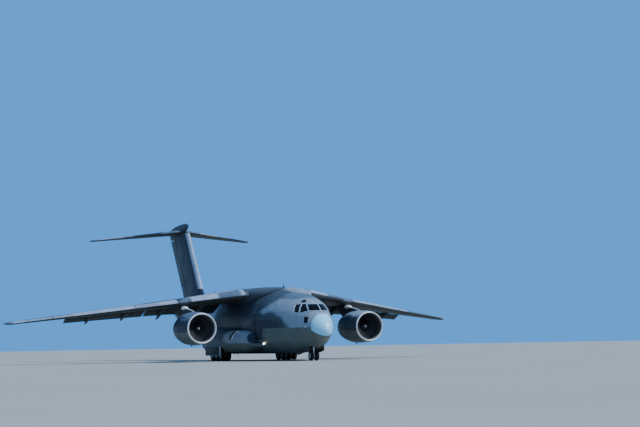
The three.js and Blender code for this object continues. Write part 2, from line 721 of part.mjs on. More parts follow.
// Engines: everything is drawn about the middle of the intake ring, aft along Y
const engine = { x: 3985, station: 4545, z: 1470 };
const cowlSides = 32;
const coreSides = 20;
const cowl = [
  [632, 0], [655, 25], [690, 200], [722, 600], [735, 1100], [715, 1600], [640, 2100], [560, 2430],
  [548, 2430], [575, 2000], [600, 1500], [602, 500], [585, 250], [600, 60], [632, 0],
];
const coreProfile = [
  [0, 900], [330, 900], [400, 1400], [400, 2200], [360, 2500], [290, 3020],
  [240, 3025], [150, 3150], [30, 3380], [0, 3380],
];
function engineCore() {
  const vanes = [];
  const count = 6;
  for (let i = 0; i < count; i += 1) {
    const angle = ((i + 0.5) / count) * 2 * Math.PI;
    const vane = box(-8, 8, 1150, 1400, 300, 601.2);
    vanes.push(vane.rotateY(angle));
  }
  // The vanes reach the bore of the cowl, less a hair
  const bore = turned([[0, 1100], [600.4, 1100], [599.6, 1500], [0, 1500]], cowlSides);
  const inner = turned([[0, 880], [500, 880], [500, 3500], [0, 3500]], 16);
  return common(join(turned(coreProfile, coreSides), ...vanes), join(bore, inner));
}
function fan() {
  const parts = [turned([[0, 330], [60, 345], [150, 470], [200, 620], [205, 899.5], [0, 899.5]], 16)];
  const count = 16;
  for (let i = 0; i < count; i += 1) {
    const blade = new THREE.BoxGeometry(12, 150, 400).rotateZ(0.75).translate(0, 700, 388);
    parts.push(blade.rotateY((i / count) * 2 * Math.PI));
  }
  return join(...parts);
}
const cowlShape = turned(cowl, cowlSides);
const coreShape = engineCore();
const fanShape = fan();
for (const [name, side] of sides) {
  const place = [side * engine.x, engine.station, engine.z];
  add(`engine_cowl_${name}`, cowlShape, upperPaint, place);
  add(`engine_core_${name}`, coreShape, engineMetal, place);
  add(`engine_fan_${name}`, fanShape, engineMetal, place);
  // Pylon from the cowl up to the wing, cut to fit both
  const outline = [
    [engine.station + 700, 2130], [engine.station + 1500, 2290], [7000, 2420], [7400, 2640], [8700, 2640],
    [8300, 2330], [7500, 1960], [7350, 1820], [6400, 1820], [5700, 2000],
  ];
  const plate = sidePrism(outline.reverse(), -95, 95).translate(side * engine.x, 0, 0);
  const outer = cowl.slice(0, 8).map(([r, y]) => [r + gap, y]);
  const cowlTool = turned([[0, -10], [633, -10], ...outer, [560, 2431], [0, 2431]], cowlSides);
  const coreRoom = [[0, 880], [401, 880], [401, 2200], [361, 2500], [291, 3021], [0, 3021]];
  const coreTool = turned(coreRoom, coreSides);
  const solids = [cowlTool, coreTool].map((tool) => tool.translate(...place));
  add(`pylon_${name}`, cut(plate, ...solids, wingLoft(wingRoot, halfSpan, side, gap)), upperPaint);
}

// Sponsons: station, outer x, top, bottom
const sponson = [
  [5000, 1480, 1130, 640],
  [5250, 1690, 1270, 500],
  [5750, 1850, 1380, 410],
  [6800, 1950, 1470, 375],
  [10000, 1950, 1500, 375],
  [10900, 1850, 1480, 430],
  [11500, 1660, 1400, 600],
  [11750, 1500, 1250, 760],
];
const wheelBay = { front: 7950, rear: 9950, inner: 1330, roof: 725 };
const gearDoor = { foot: 250, inner: 1990, outer: 2025, lip: 1900, edge: 10 };
function sponsonRing([station, outer, top, bottom], side) {
  const inner = 700;
  const ring = [];
  for (let i = 0; i < 24; i += 1) {
    const angle = (i / 24) * 2 * Math.PI;
    const [c, s] = [Math.cos(angle), Math.sin(angle)];
    const x = (outer + inner) / 2 + ((outer - inner) / 2) * Math.sign(c) * Math.abs(c) ** 0.6;
    const z = (top + bottom) / 2 + ((top - bottom) / 2) * Math.sign(s) * Math.abs(s) ** 0.7;
    ring.push([side * x, station, z]);
  }
  return ring;
}
const mainGear = { x: 1625, station: 8935, pitch: 600, radius: 275 };
const wheelSides = 20;
const flatRadius = Math.cos(Math.PI / wheelSides);
for (const [name, side] of sides) {
  const shape = loft(sponson.map((row) => sponsonRing(row, side)));
  const [low, high] = side > 0 ? [wheelBay.inner, far] : [-far, -wheelBay.inner];
  const bay = box(low, high, wheelBay.front, wheelBay.rear, -10, wheelBay.roof);
  add(`sponson_${name}`, cut(shape, skinTool, bay), upperPaint);
  // Door hanging open outside the wheels, on the outer edge of the bay
  const [front, rear] = [wheelBay.front + gearDoor.edge, wheelBay.rear - gearDoor.edge];
  const across = (from, to) => (side > 0 ? [from, to] : [-to, -from]);
  const leaf = box(...across(gearDoor.inner, gearDoor.outer), front, rear, gearDoor.foot, 715);
  const lip = box(...across(gearDoor.lip, gearDoor.outer - 5), front, rear, 690, wheelBay.roof - gap);
  add(`main_gear_door_${name}`, join(leaf, lip), upperPaint);
}

// Wheels: twin tyres on one live axle, drawn about the Y axis and turned onto X
function twinWheels(radius, width, tyreWidth, axleRadius) {
  const half = width / 2;
  const inner = half - tyreWidth;
  const hub = radius * 0.52;
  const side = (sign) => [
    [axleRadius, inner], [radius * 0.86, inner], [radius, inner + tyreWidth * 0.25],
    [radius, half - tyreWidth * 0.25], [radius * 0.86, half], [hub, half - 20], [0, half - 20],
  ].map(([r, y]) => [r, sign * y]);
  const profile = [...side(-1).reverse(), ...side(1)];
  return turned(profile, wheelSides).rotateY(Math.PI / wheelSides).rotateZ(Math.PI / 2);
}
const mainAxle = 42;
const mainWheels = twinWheels(mainGear.radius, 475, 180, mainAxle);
const places = [["front", -1], ["middle", 0], ["rear", 1]];
const axleClear = 1.2;
function gearLegs(side) {
  const parts = [box(-85, 85, wheelBay.front + 60, wheelBay.rear - 60, 640, wheelBay.roof - gap)];
  const bores = [];
  const axle = mainGear.radius * flatRadius;
  for (const [, step] of places) {
    const y = mainGear.station + step * mainGear.pitch;
    parts.push(bar([0, y, axle], [0, y, 660], 42, 42));
    parts.push(bar([-46, y, axle], [46, y, axle], 75, 75, 14));
    bores.push(bar([-80, y, axle], [80, y, axle], mainAxle + axleClear, mainAxle + axleClear, 20));
  }
  return cut(join(...parts), ...bores).translate(side * mainGear.x, 0, 0);
}
for (const [name, side] of sides) {
  add(`main_gear_${name}`, gearLegs(side), gearPaint);
  for (const [place, step] of places) {
    const along = mainGear.station + step * mainGear.pitch;
    const position = [side * mainGear.x, along, mainGear.radius * flatRadius];
    add(`main_wheels_${name}_${place}`, mainWheels, tyreRubber, position);
  }
}

// Nose gear: a leg under the flight deck floor, a steered fork and twin wheels
const noseGear = { station: 1610, radius: 220, axle: 34 };
const noseAxle = noseGear.radius * flatRadius;
function noseLeg() {
  const upper = bar([0, noseGear.station, 620], [0, noseGear.station, deckTop - deckThick - gap], 62, 62, 16);
  const drag = bar([0, noseGear.station, 760], [0, 2350, 1380], 34, 34, 10);
  const foot = box(-60, 60, 2280, 2420, 1340, deckTop - deckThick - gap);
  return join(upper, drag, foot);
}
add("nose_gear_leg", noseLeg(), gearPaint);
function steeredFork() {
  const y = noseGear.station;
  const piston = bar([0, y, noseAxle + 20], [0, y, 619.5], 40, 40, 16);
  const eye = bar([-44, y, noseAxle], [44, y, noseAxle], 66, 66, 20);
  const collar = bar([0, y, 540], [0, y, 600], 58, 58, 16);
  const elbow = [[20, 560], [20, 590], [150, 430], [60, 300], [40, 320], [110, 430]];
  const link = sidePrism(elbow.map(([aft, up]) => [y + aft, up]), -18, 18);
  const bore = noseGear.axle + axleClear;
  return cut(join(piston, eye, collar, link), bar([-80, y, noseAxle], [80, y, noseAxle], bore, bore, 20));
}
add("nose_gear_fork", steeredFork(), gearPaint);
const noseWheels = twinWheels(noseGear.radius, 390, 140, noseGear.axle);
add("nose_wheels", noseWheels, tyreRubber, [0, noseGear.station, noseAxle]);

// Nose gear doors, hanging at both sides of the well
for (const [name, side] of sides) {
  const outline = [[1300, 640], [2540, 500], [2540, 245], [1300, 420]];
  const [low, high] = side > 0 ? [wellHalf + 4, wellHalf + 30] : [-wellHalf - 30, -wellHalf - 4];
  const door = sidePrism(outline.reverse(), low, high);
  add(`nose_gear_door_${name}`, cut(door, skinTool), upperPaint);
}

export default aircraft;
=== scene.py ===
"""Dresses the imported 1:2 transport aeroplane: fine skins, finishes, small parts, lights and camera."""

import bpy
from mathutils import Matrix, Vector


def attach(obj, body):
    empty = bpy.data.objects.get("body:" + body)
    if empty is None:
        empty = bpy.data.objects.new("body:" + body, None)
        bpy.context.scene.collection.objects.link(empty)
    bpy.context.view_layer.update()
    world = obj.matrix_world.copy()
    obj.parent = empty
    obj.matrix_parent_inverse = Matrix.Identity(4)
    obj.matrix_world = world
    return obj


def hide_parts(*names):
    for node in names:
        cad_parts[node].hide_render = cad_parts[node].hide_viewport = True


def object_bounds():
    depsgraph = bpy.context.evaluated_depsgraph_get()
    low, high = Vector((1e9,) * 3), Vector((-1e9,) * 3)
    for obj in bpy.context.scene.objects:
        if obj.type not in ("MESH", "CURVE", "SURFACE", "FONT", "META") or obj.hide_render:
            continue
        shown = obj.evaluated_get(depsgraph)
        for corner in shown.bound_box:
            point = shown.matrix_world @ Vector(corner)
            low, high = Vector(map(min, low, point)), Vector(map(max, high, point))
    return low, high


bl_info = {
    "name": "Transport Aeroplane Dressing",
    "version": (1, 0, 0),
    "blender": (4, 5, 0),
    "location": "3D View > Sidebar > Aeroplane",
    "description": "Builds the fine skins, finishes and small parts of a 1:2 transport aeroplane",
    "category": "Object",
}

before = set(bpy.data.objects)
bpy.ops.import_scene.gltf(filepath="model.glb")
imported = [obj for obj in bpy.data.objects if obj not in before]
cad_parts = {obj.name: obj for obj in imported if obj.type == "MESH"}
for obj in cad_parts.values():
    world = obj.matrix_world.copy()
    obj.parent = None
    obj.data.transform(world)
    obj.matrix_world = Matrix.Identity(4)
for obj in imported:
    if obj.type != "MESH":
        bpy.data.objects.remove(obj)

import math

import bmesh
import bpy
from mathutils import Matrix, Vector

CAD_LOW, CAD_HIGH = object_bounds()
# Stations are metres aft of the nose tip: this carries them to the frame
NOSE = CAD_LOW[1]
HALF_SPAN = CAD_HIGH[0]
FAR = 40.0
SIDES = (("left", 1), ("right", -1))
SHARP_ANGLE = math.radians(38)


# Colours and finishes


def linear(code):
    """An sRGB hex colour as linear red, green, blue and alpha."""
    def channel(value):
        return value / 12.92 if value <= 0.04045 else ((value + 0.055) / 1.055) ** 2.4
    return tuple(channel(int(code[i:i + 2], 16) / 255) for i in (1, 3, 5)) + (1.0,)


def add_node(tree, kind, inputs=None, **settings):
    """Adds a node, sets its properties and fills its sockets with values, sockets or results of nodes."""
    node = tree.nodes.new(f"ShaderNode{kind}")
    for name, value in settings.items():
        setattr(node, name, value)
    for key, value in (inputs or {}).items():
        if isinstance(value, bpy.types.Node):
            value = next(socket for socket in value.outputs if socket.enabled)
        if isinstance(value, bpy.types.NodeSocket):
            tree.links.new(value, node.inputs[key])
        else:
            node.inputs[key].default_value = value
    return node


def new_material(name):
    material = bpy.data.materials.new(name)
    material.use_nodes = True
    material.node_tree.nodes.clear()
    return material, material.node_tree


def surface(tree, sockets):
    """Ends a material with its shader, whose sockets take numbers, colours or nodes."""
    add_node(tree, "OutputMaterial", {"Surface": add_node(tree, "BsdfPrincipled", sockets)})


def object_parts(tree):
    """Object coordinates, which are the frame's own metres, whole and as x, y and z."""
    place = add_node(tree, "TexCoord").outputs["Object"]
    return place, *add_node(tree, "SeparateXYZ", {"Vector": place}).outputs


def stretched(tree, value, low, high):
    """Carries the stretch from low to high onto 0 to 1, and what lies outside it onto the ends."""
    return add_node(tree, "MapRange", {"Value": value, "From Min": low, "From Max": high})


def cloud(tree, place, scale, detail, low, high):
    """A soft pattern of noise, with its stretch from low to high carried onto 0 to 1."""
    noise = add_node(tree, "TexNoise", {"Vector": place, "Scale": scale, "Detail": detail})
    return stretched(tree, noise, low, high)


def mixed(tree, share, first, second):
    """The first colour where share is 0 and the second where it is 1."""
    return add_node(tree, "Mix", {"Factor": share, "A": first, "B": second}, data_type="RGBA")


def tinted(tree, share, amount, colour, code):
    """A colour taken an amount of the way to a second one, where share is 1."""
    factor = add_node(tree, "Math", {0: share, 1: amount}, operation="MULTIPLY")
    return mixed(tree, factor, colour, linear(code))


# Panel joints are drawn 14 mm wide: at 3 mm, as on the real skin, no view would show them
PANEL_JOINT = 0.014
PANELS = {
    "body": {"turn": 0.0, "width": 1.05, "height": 0.52},
    "wing": {"turn": -0.52, "width": 1.25, "height": 0.46},
    "tail": {"turn": -0.46, "width": 0.95, "height": 0.4},
    "fin": {"turn": 0.6, "width": 0.9, "height": 0.55},
    "edge": {"turn": -0.52, "width": 1.25, "height": 0.46},
    "nacelle": {"turn": 0.0, "width": 1.2, "height": 0.6},
    "sponson": {"turn": 0.0, "width": 0.9, "height": 0.4},
}


def panel_lines(tree, layout):
    """1 on the joints between skin panels and 0 elsewhere."""
    _, x, y, z = object_parts(tree)
    across, up = y, z
    if layout in ("wing", "tail", "edge"):
        across, up = add_node(tree, "Math", {0: x}, operation="ABSOLUTE"), y
    plan = add_node(tree, "CombineXYZ", {"X": across, "Y": up})
    panels = PANELS[layout]
    leaning = add_node(tree, "Mapping", {"Vector": plan, "Rotation": (0.0, 0.0, panels["turn"])})
    bricks = add_node(tree, "TexBrick", {
        "Vector": leaning, "Scale": 1.0, "Mortar Size": PANEL_JOINT / 2, "Mortar Smooth": 0.3,
        "Brick Width": panels["width"], "Row Height": panels["height"]})
    return bricks.outputs["Fac"]


def weathered(tree, colour, layout, roughness):
    """Shader sockets for a paint with panel joints, rain streaks, faded blotches and uneven gloss."""
    place, *_ = object_parts(tree)
    joints = panel_lines(tree, layout)
    along = add_node(tree, "Mapping", {"Vector": place, "Scale": (2.2, 0.45, 1.4)})
    blotches = cloud(tree, place, 1.1, 4.0, 0.35, 0.7)
    streaks = cloud(tree, along, 2.6, 5.0, 0.42, 0.72)
    colour = tinted(tree, blotches, 0.1, colour, "#7e93a8")
    colour = tinted(tree, streaks, 0.2, colour, "#1d2228")
    colour = tinted(tree, joints, 0.35, colour, "#0c1014")
    grain = add_node(tree, "TexNoise", {"Vector": place, "Scale": 90.0, "Detail": 2.0})
    groove = add_node(tree, "Math", {0: joints, 1: -1.0}, operation="MULTIPLY")
    relief = add_node(tree, "Math", {0: grain, 1: 0.06, 2: groove}, operation="MULTIPLY_ADD")
    return {
        "Base Color": colour,
        "Roughness": add_node(tree, "Math", {0: blotches, 1: 0.18, 2: roughness}, operation="MULTIPLY_ADD"),
        "Normal": add_node(tree, "Bump", {"Height": relief, "Strength": 0.35, "Distance": 0.004})}


# Sprayed patches over a ground tone: tone, middle as x, station and height, and reach along each. Some of
# them are painted light or painted shade, as said at each
PATCHES = {
    "body": ("middle_blue", (
        # Painted shadow of the wing on the near side of the fuselage
        ("dark_blue", (-1.3, 7.2, 1.7), (1.4, 3.3, 1.15)),
        ("slate_blue", (-1.0, 4.3, 2.3), (0.9, 2.3, 0.6)),
        # Painted shade low on the near side, ahead of the wing
        ("dark_blue", (-1.3, 4.6, 1.5), (0.8, 1.35, 0.5)),
        ("light_blue", (-0.9, 1.2, 1.75), (2.5, 2.3, 0.95)),
        ("light_blue", (-1.2, 3.3, 2.3), (1.2, 1.75, 0.45)),
        ("slate_blue", (-1.0, 5.4, 3.0), (1.3, 2.2, 0.85)),
        # Painted shade low on the near side ahead of the wing, slate round dark blue
        ("slate_blue", (-1.2, 4.3, 1.35), (1.2, 2.35, 0.75)),
        ("dark_blue", (-1.2, 4.3, 1.3), (1.2, 1.8, 0.5)),
        ("light_blue", (0.9, 4.6, 2.7), (1.2, 1.9, 0.9)),
        ("dark_blue", (1.3, 3.4, 1.9), (0.8, 1.5, 0.6)),
        ("light_blue", (1.4, 7.6, 1.7), (0.8, 1.9, 0.6)),
        ("dark_blue", (0.2, 10.3, 3.3), (1.5, 1.8, 0.7)),
        ("light_blue", (-1.2, 11.8, 2.2), (1.0, 1.6, 0.8)),
        ("light_blue", (0.6, 14.0, 3.1), (1.6, 1.7, 0.9)),
        ("dark_blue", (-1.0, 15.4, 2.6), (1.1, 1.9, 1.0)),
        ("dark_blue", (1.2, 12.6, 2.0), (1.0, 1.7, 1.0)),
        ("light_blue", (0.2, 18.4, 2.8), (1.4, 1.2, 0.8)),
    )),
    "wing": ("middle_blue", (
        ("light_blue", (-2.5, 7.6, 2.7), (1.1, 2.0, 3.0)),
        ("dark_blue", (-4.6, 8.6, 2.6), (0.9, 1.6, 3.0)),
        ("light_blue", (-7.2, 9.4, 2.3), (1.3, 1.3, 3.0)),
        ("dark_blue", (-9.6, 10.9, 2.0), (1.0, 1.2, 3.0)),
        ("dark_blue", (2.7, 8.3, 2.8), (1.0, 2.2, 3.0)),
        ("light_blue", (5.4, 8.2, 2.6), (1.3, 1.5, 3.0)),
        ("dark_blue", (7.9, 10.2, 2.3), (1.1, 1.4, 3.0)),
        ("light_blue", (10.3, 11.2, 2.0), (0.9, 1.0, 3.0)),
    )),
    "tail": ("middle_blue", (
        ("dark_blue", (-1.6, 20.4, 6.6), (0.9, 1.1, 1.0)),
        ("light_blue", (-3.4, 21.0, 6.5), (0.8, 0.8, 1.0)),
        ("light_blue", (1.4, 20.6, 6.6), (0.9, 1.2, 1.0)),
        ("dark_blue", (3.3, 21.2, 6.5), (0.8, 0.8, 1.0)),
    )),
    "fin": ("dark_blue", (
        ("slate_blue", (0.0, 19.2, 7.1), (0.6, 2.4, 0.45)),
        ("slate_blue", (0.0, 20.0, 5.2), (0.6, 0.9, 1.0)),
        ("slate_blue", (0.0, 20.9, 6.0), (0.6, 0.8, 0.6)),
    )),
    "nacelle": ("dark_blue", (
        # Painted highlight: a lighter top on this cowl
        ("middle_blue", (-4.3, 5.2, 2.2), (0.9, 1.1, 0.4)),
        ("slate_blue", (4.0, 5.5, 1.9), (1.2, 1.4, 0.75)),
        # Painted highlight: a lighter top on this cowl
        ("light_blue", (3.7, 5.4, 2.2), (0.9, 1.2, 0.3)),
    )),
    "sponson": ("belly_grey", (
        # Painted shadow of the wing over the sponson tops
        ("dark_blue", (-1.6, 8.5, 1.65), (0.9, 3.2, 0.75)),
        ("dark_blue", (1.6, 8.5, 1.65), (0.9, 3.2, 0.75)),
        # Painted sunlight on the fronts of the blisters
        ("light_blue", (-1.8, 5.9, 1.02), (0.9, 1.7, 0.36)),
        ("light_blue", (1.8, 5.9, 1.02), (0.9, 1.7, 0.36)),
        # Painted shade ahead of the blisters
        ("dark_blue", (-1.5, 4.9, 1.1), (0.6, 0.36, 0.4)),
        ("dark_blue", (1.5, 4.9, 1.1), (0.6, 0.36, 0.4)),
    )),
    "edge": ("edge_blue", (
        ("middle_blue", (-2.2, 5.9, 2.9), (0.5, 1.0, 1.0)),
        ("light_blue", (-5.5, 7.9, 2.5), (0.5, 1.0, 1.0)),
        ("light_blue", (-9.3, 10.1, 2.1), (1.1, 1.2, 1.0)),
        ("middle_blue", (3.6, 6.7, 2.7), (1.0, 1.2, 1.0)),
        ("middle_blue", (9.7, 10.2, 2.0), (1.6, 1.4, 1.0)),
    )),
}
SPRAY_EDGE = 0.1
# Below this height the sponsons are plain
SPONSON_BREAK = 0.79
BREAK_EDGE = 0.01
# From the nose section to the hold's rear end the belly's colour ends lower, with a slope at both ends: the
# blues reaching lower there are partly camouflage and partly painted shade below the wing
BREAK_DROP = {"by": 0.5, "front": (4.1, 4.4), "rear": (10.5, 11.5)}
# Where the radome's paint ends on the nose section, and how it leans forward above a height
RADOME_PAINT = {"station": (0.628, 0.652), "height": (1.96, 1.985), "lean_from": 1.6, "lean": 0.15}


def patch_share(tree, wobble, middle, reach):
    """1 inside a sprayed patch and 0 outside, with a wandering soft edge."""
    place, *_ = object_parts(tree)
    x, station, height = middle
    shift = add_node(tree, "VectorMath", {0: place, 1: (x, station + NOSE, height)}, operation="SUBTRACT")
    scaled = add_node(tree, "VectorMath", {0: shift, 1: reach}, operation="DIVIDE")
    distance = add_node(tree, "VectorMath", {0: scaled}, operation="LENGTH")
    edge = add_node(tree, "Math", {0: distance, 1: wobble}, operation="ADD")
    return stretched(tree, edge, 1.0 + SPRAY_EDGE, 1.0 - SPRAY_EDGE)


def camouflage(tree, settings, layout):
    """Blues in broad soft-edged patches, sprayed freehand; some patches are painted light and painted shade.
    """
    place, *_ = object_parts(tree)
    hand = add_node(tree, "TexNoise", {"Vector": place, "Scale": 0.9, "Detail": 1.5})
    wobble = add_node(tree, "Math", {0: hand, 1: 0.6, 2: -0.3}, operation="MULTIPLY_ADD")
    ground, patches = PATCHES[layout]
    colour = linear(getattr(settings, ground))
    for tone, middle, reach in patches:
        colour = tinted(tree, patch_share(tree, wobble, middle, reach), 1.0, colour, getattr(settings, tone))
    return colour


def lowered_height(tree):
    """The height, raised where the blues reach further down, partly as painted shade below the wing."""
    _, _, y, z = object_parts(tree)
    front, rear = BREAK_DROP["front"], BREAK_DROP["rear"]
    start = stretched(tree, y, NOSE + front[0], NOSE + front[1])
    end = stretched(tree, y, NOSE + rear[1], NOSE + rear[0])
    drop = add_node(tree, "Math", {0: start, 1: end}, operation="MULTIPLY")
    return add_node(tree, "Math", {0: drop, 1: BREAK_DROP["by"], 2: z}, operation="MULTIPLY_ADD")


def radome_paint_share(tree):
    """1 where the radome's paint runs past its seam, leaning forward, up to below the windscreen."""
    _, _, y, z = object_parts(tree)
    near, far = RADOME_PAINT["station"]
    low, high = RADOME_PAINT["height"]
    rise = stretched(tree, z, RADOME_PAINT["lean_from"], RADOME_PAINT["lean_from"] + 1.0)
    place = add_node(tree, "Math", {0: rise, 1: RADOME_PAINT["lean"], 2: y}, operation="MULTIPLY_ADD")
    ahead = stretched(tree, place, NOSE + far, NOSE + near)
    below = stretched(tree, z, high, low)
    return add_node(tree, "Math", {0: ahead, 1: below}, operation="MULTIPLY")


def camouflage_enamel(settings, layout, belly_break=None):
    """Polyurethane enamel, sprayed: satin, in patches, some of which are painted light and shade. Below
    belly_break it has the belly's colour.
    """
    material, tree = new_material(f"camouflage_enamel_{layout}")
    colour = camouflage(tree, settings, layout)
    if belly_break is not None:
        height = lowered_height(tree) if layout == "body" else object_parts(tree)[3]
        above = stretched(tree, height, belly_break - BREAK_EDGE, belly_break + BREAK_EDGE)
        colour = mixed(tree, above, linear(settings.belly_grey), colour)
    if layout == "body":
        colour = mixed(tree, radome_paint_share(tree), colour, radome_colour(tree, settings)[0])
    surface(tree, {**weathered(tree, colour, layout, 0.42), "Specular IOR Level": 0.25})
    return material


def radome_colour(tree, settings):
    """Pale blue over the belly grey, whose edge drops from the seam to the tip, and the haze in the blue."""
    place, _, y, z = object_parts(tree)
    haze = cloud(tree, place, 2.5, 3.0, 0.3, 0.7)
    pale = tinted(tree, haze, 0.2, linear(settings.radome_blue), "#84c6e8")
    edge = add_node(tree, "Math", {0: y, 1: 0.55, 2: 0.95 - 0.55 * NOSE}, operation="MULTIPLY_ADD")
    rise = add_node(tree, "Math", {0: z, 1: edge}, operation="SUBTRACT")
    above = stretched(tree, rise, -0.02, 0.02)
    return mixed(tree, above, linear(settings.belly_grey), pale), haze


def painted_shade_enamel(settings, layout):
    """The same enamel in a near-black grey, darker than the real undersides: painted shade on them and on the
    parts in their shadow.
    """
    material, tree = new_material(f"painted_shade_enamel_{layout}")
    surface(tree, weathered(tree, linear(settings.painted_shade_grey), layout, 0.55))
    return material


def gel_coat(settings):
    """Glass-fibre radome under a smooth rain-erosion coat: a wide soft shine, no panel joints."""
    material, tree = new_material("radome_gel_coat")
    colour, haze = radome_colour(tree, settings)
    gloss = add_node(tree, "Math", {0: haze, 1: 0.12, 2: 0.28}, operation="MULTIPLY_ADD")
    surface(tree, {"Base Color": colour, "Roughness": gloss, "Coat Weight": 0.2})
    return material


def plain_finish(name, code, roughness, metallic, spots, amount, scale):
    """A finish with cloudy wear between two colours and uneven gloss."""
    material, tree = new_material(name)
    wear = cloud(tree, object_parts(tree)[0], scale, 4.0, 0.35, 0.75)
    gloss = add_node(tree, "Math", {0: wear, 1: 0.15, 2: roughness}, operation="MULTIPLY_ADD")
    colour = tinted(tree, wear, amount, linear(code), spots)
    surface(tree, {"Base Color": colour, "Roughness": gloss, "Metallic": metallic})
    return material


def tyre_rubber():
    """Vulcanised rubber: nearly black, matt, with dust in the tread and on the shoulders."""
    material, tree = new_material("tyre_rubber")
    place, *_ = object_parts(tree)
    dust = cloud(tree, place, 14.0, 5.0, 0.45, 0.8)
    grain = add_node(tree, "TexNoise", {"Vector": place, "Scale": 160.0, "Detail": 3.0})
    surface(tree, {
        "Base Color": tinted(tree, dust, 0.35, linear("#141416"), "#4a463f"), "Roughness": 0.85,
        "Normal": add_node(tree, "Bump", {"Height": grain, "Strength": 0.3, "Distance": 0.002})})
    return material


def heat_tinted_nickel():
    """Nickel alloy of the exhaust, rolled and welded: heat turns it brown and straw along its length."""
    material, tree = new_material("heat_tinted_nickel")
    place, _, y, _ = object_parts(tree)
    noise = add_node(tree, "TexNoise", {"Vector": place, "Scale": 3.0, "Detail": 3.0})
    bands = add_node(tree, "Math", {0: y, 1: 1.3, 2: noise}, operation="MULTIPLY_ADD")
    tint = add_node(tree, "Math", {0: bands, 1: 0.5}, operation="PINGPONG")
    gloss = add_node(tree, "Math", {0: tint, 1: 0.3, 2: 0.28}, operation="MULTIPLY_ADD")
    colour = tinted(tree, tint, 2.0, linear("#6d6259"), "#8d7a62")
    surface(tree, {"Base Color": colour, "Roughness": gloss, "Metallic": 1.0})
    return material


def painted_shade_glass():
    """Laminated glass made near-black and nearly opaque: painted shade of the dark inside, in an uneven
    black, with a sharp sky gleam.
    """
    material, tree = new_material("painted_shade_glass")
    uneven_black = cloud(tree, object_parts(tree)[0], 1.8, 2.0, 0.3, 0.7)
    surface(tree, {
        "Base Color": tinted(tree, uneven_black, 1.0, linear("#030406"), "#07090c"),
        "Roughness": 0.06, "IOR": 1.52, "Specular IOR Level": 0.2, "Alpha": 0.96})
    return material


def lamp_lens(name, code, strength):
    """A clear moulded lens over a lamp: it glows by its strength and stays glossy."""
    material, tree = new_material(name)
    facets = add_node(tree, "TexNoise", {"Vector": object_parts(tree)[0], "Scale": 60.0, "Detail": 1.0})
    surface(tree, {
        "Base Color": tinted(tree, facets, 1.0, linear(code), "#ffffff"), "Roughness": 0.08,
        "Emission Color": linear(code), "Emission Strength": strength})
    return material


FINISHES = {}


def make_finishes(settings):
    """Every finish once, kept by its short name."""
    FINISHES.update({
        "body": camouflage_enamel(settings, "body", settings.break_height),
        "wing": camouflage_enamel(settings, "wing"),
        "tail": camouflage_enamel(settings, "tail"),
        "fin": camouflage_enamel(settings, "fin"),
        "nacelle": camouflage_enamel(settings, "nacelle", settings.nacelle_break),
        "sponson": camouflage_enamel(settings, "sponson", SPONSON_BREAK),
        # Both take the near-black grey: painted shade on undersides, gear doors, pylons and lower aerials
        "belly": painted_shade_enamel(settings, "body"),
        "under": painted_shade_enamel(settings, "wing"),
        "radome": gel_coat(settings),
        # Pale leading-edge paint, partly a painted highlight of the lit edges
        "edge": camouflage_enamel(settings, "edge"),
        # Chrome-acid polished aluminium of the intake lips: nearly white in daylight. The same finish is the
        # painted highlight on the pylon ridges and on the edges of the sponson inlets
        "lip": plain_finish("polished_aluminium", "#eef2f4", 0.3, 0.45, "#c3ccd1", 0.3, 5.0),
        "liner": plain_finish("acoustic_liner_enamel", "#4c4d50", 0.6, 0.0, "#3b3833", 0.4, 7.0),
        # Forged titanium, milled: grey with a satin sheen
        "titanium": plain_finish("milled_titanium", "#6a6c70", 0.42, 0.5, "#3a3c3f", 0.5, 9.0),
        "spinner": plain_finish("spinner_enamel", "#1b1c1e", 0.6, 0.0, "#2b2e31", 0.3, 12.0),
        "nickel": heat_tinted_nickel(),
        "gear": plain_finish("gloss_gear_enamel", "#c9cdd0", 0.35, 0.0, "#5b5550", 0.45, 8.0),
        "chrome": plain_finish("hard_chrome", "#dfe3e6", 0.1, 1.0, "#9aa0a4", 0.2, 20.0),
        "hub": plain_finish("cast_wheel_enamel", "#a9adb0", 0.45, 0.2, "#3c3a37", 0.55, 10.0),
        "brake": plain_finish("carbon_brake", "#2c2b2b", 0.75, 0.1, "#51483f", 0.4, 20.0),
        "tyre": tyre_rubber(),
        "glass": painted_shade_glass(),
        "frame": plain_finish("window_frame_enamel", "#93a9bf", 0.4, 0.1, "#5b6e82", 0.35, 8.0),
        "seal": plain_finish("door_seal_rubber", "#0e1013", 0.8, 0.0, "#26282b", 0.4, 25.0),
        "lining": plain_finish("cabin_lining_enamel", "#7b8287", 0.7, 0.0, "#4f5559", 0.35, 3.0),
        "primer": plain_finish("chromate_primer", "#6f7a62", 0.65, 0.0, "#3f463a", 0.4, 4.0),
        "deck": plain_finish("worn_aluminium_deck", "#8b8f92", 0.45, 0.8, "#4a4d50", 0.5, 7.0),
        "fabric": plain_finish("seat_wool", "#3a4148", 0.95, 0.0, "#22272c", 0.5, 40.0),
        "screen": plain_finish("display_glass", "#0a0d11", 0.12, 0.0, "#1d2a36", 0.5, 30.0),
        "black": plain_finish("moulded_nylon", "#16181a", 0.5, 0.0, "#2b2e31", 0.3, 30.0),
        "white": plain_finish("ceramic_white_enamel", "#d9dde0", 0.4, 0.0, "#a5abb0", 0.4, 9.0),
        "lamp": lamp_lens("lit_lamp_lens", "#fff6e0", 4.0),
        "lens": lamp_lens("clear_lamp_lens", "#d8dde0", 0.0),
        "red_lamp": lamp_lens("red_lamp_lens", "#c01818", 0.5),
        "green_lamp": lamp_lens("green_lamp_lens", "#12a04a", 0.5),
    })


# Shapes: each is a pair of points and faces, in metres, with y as a station


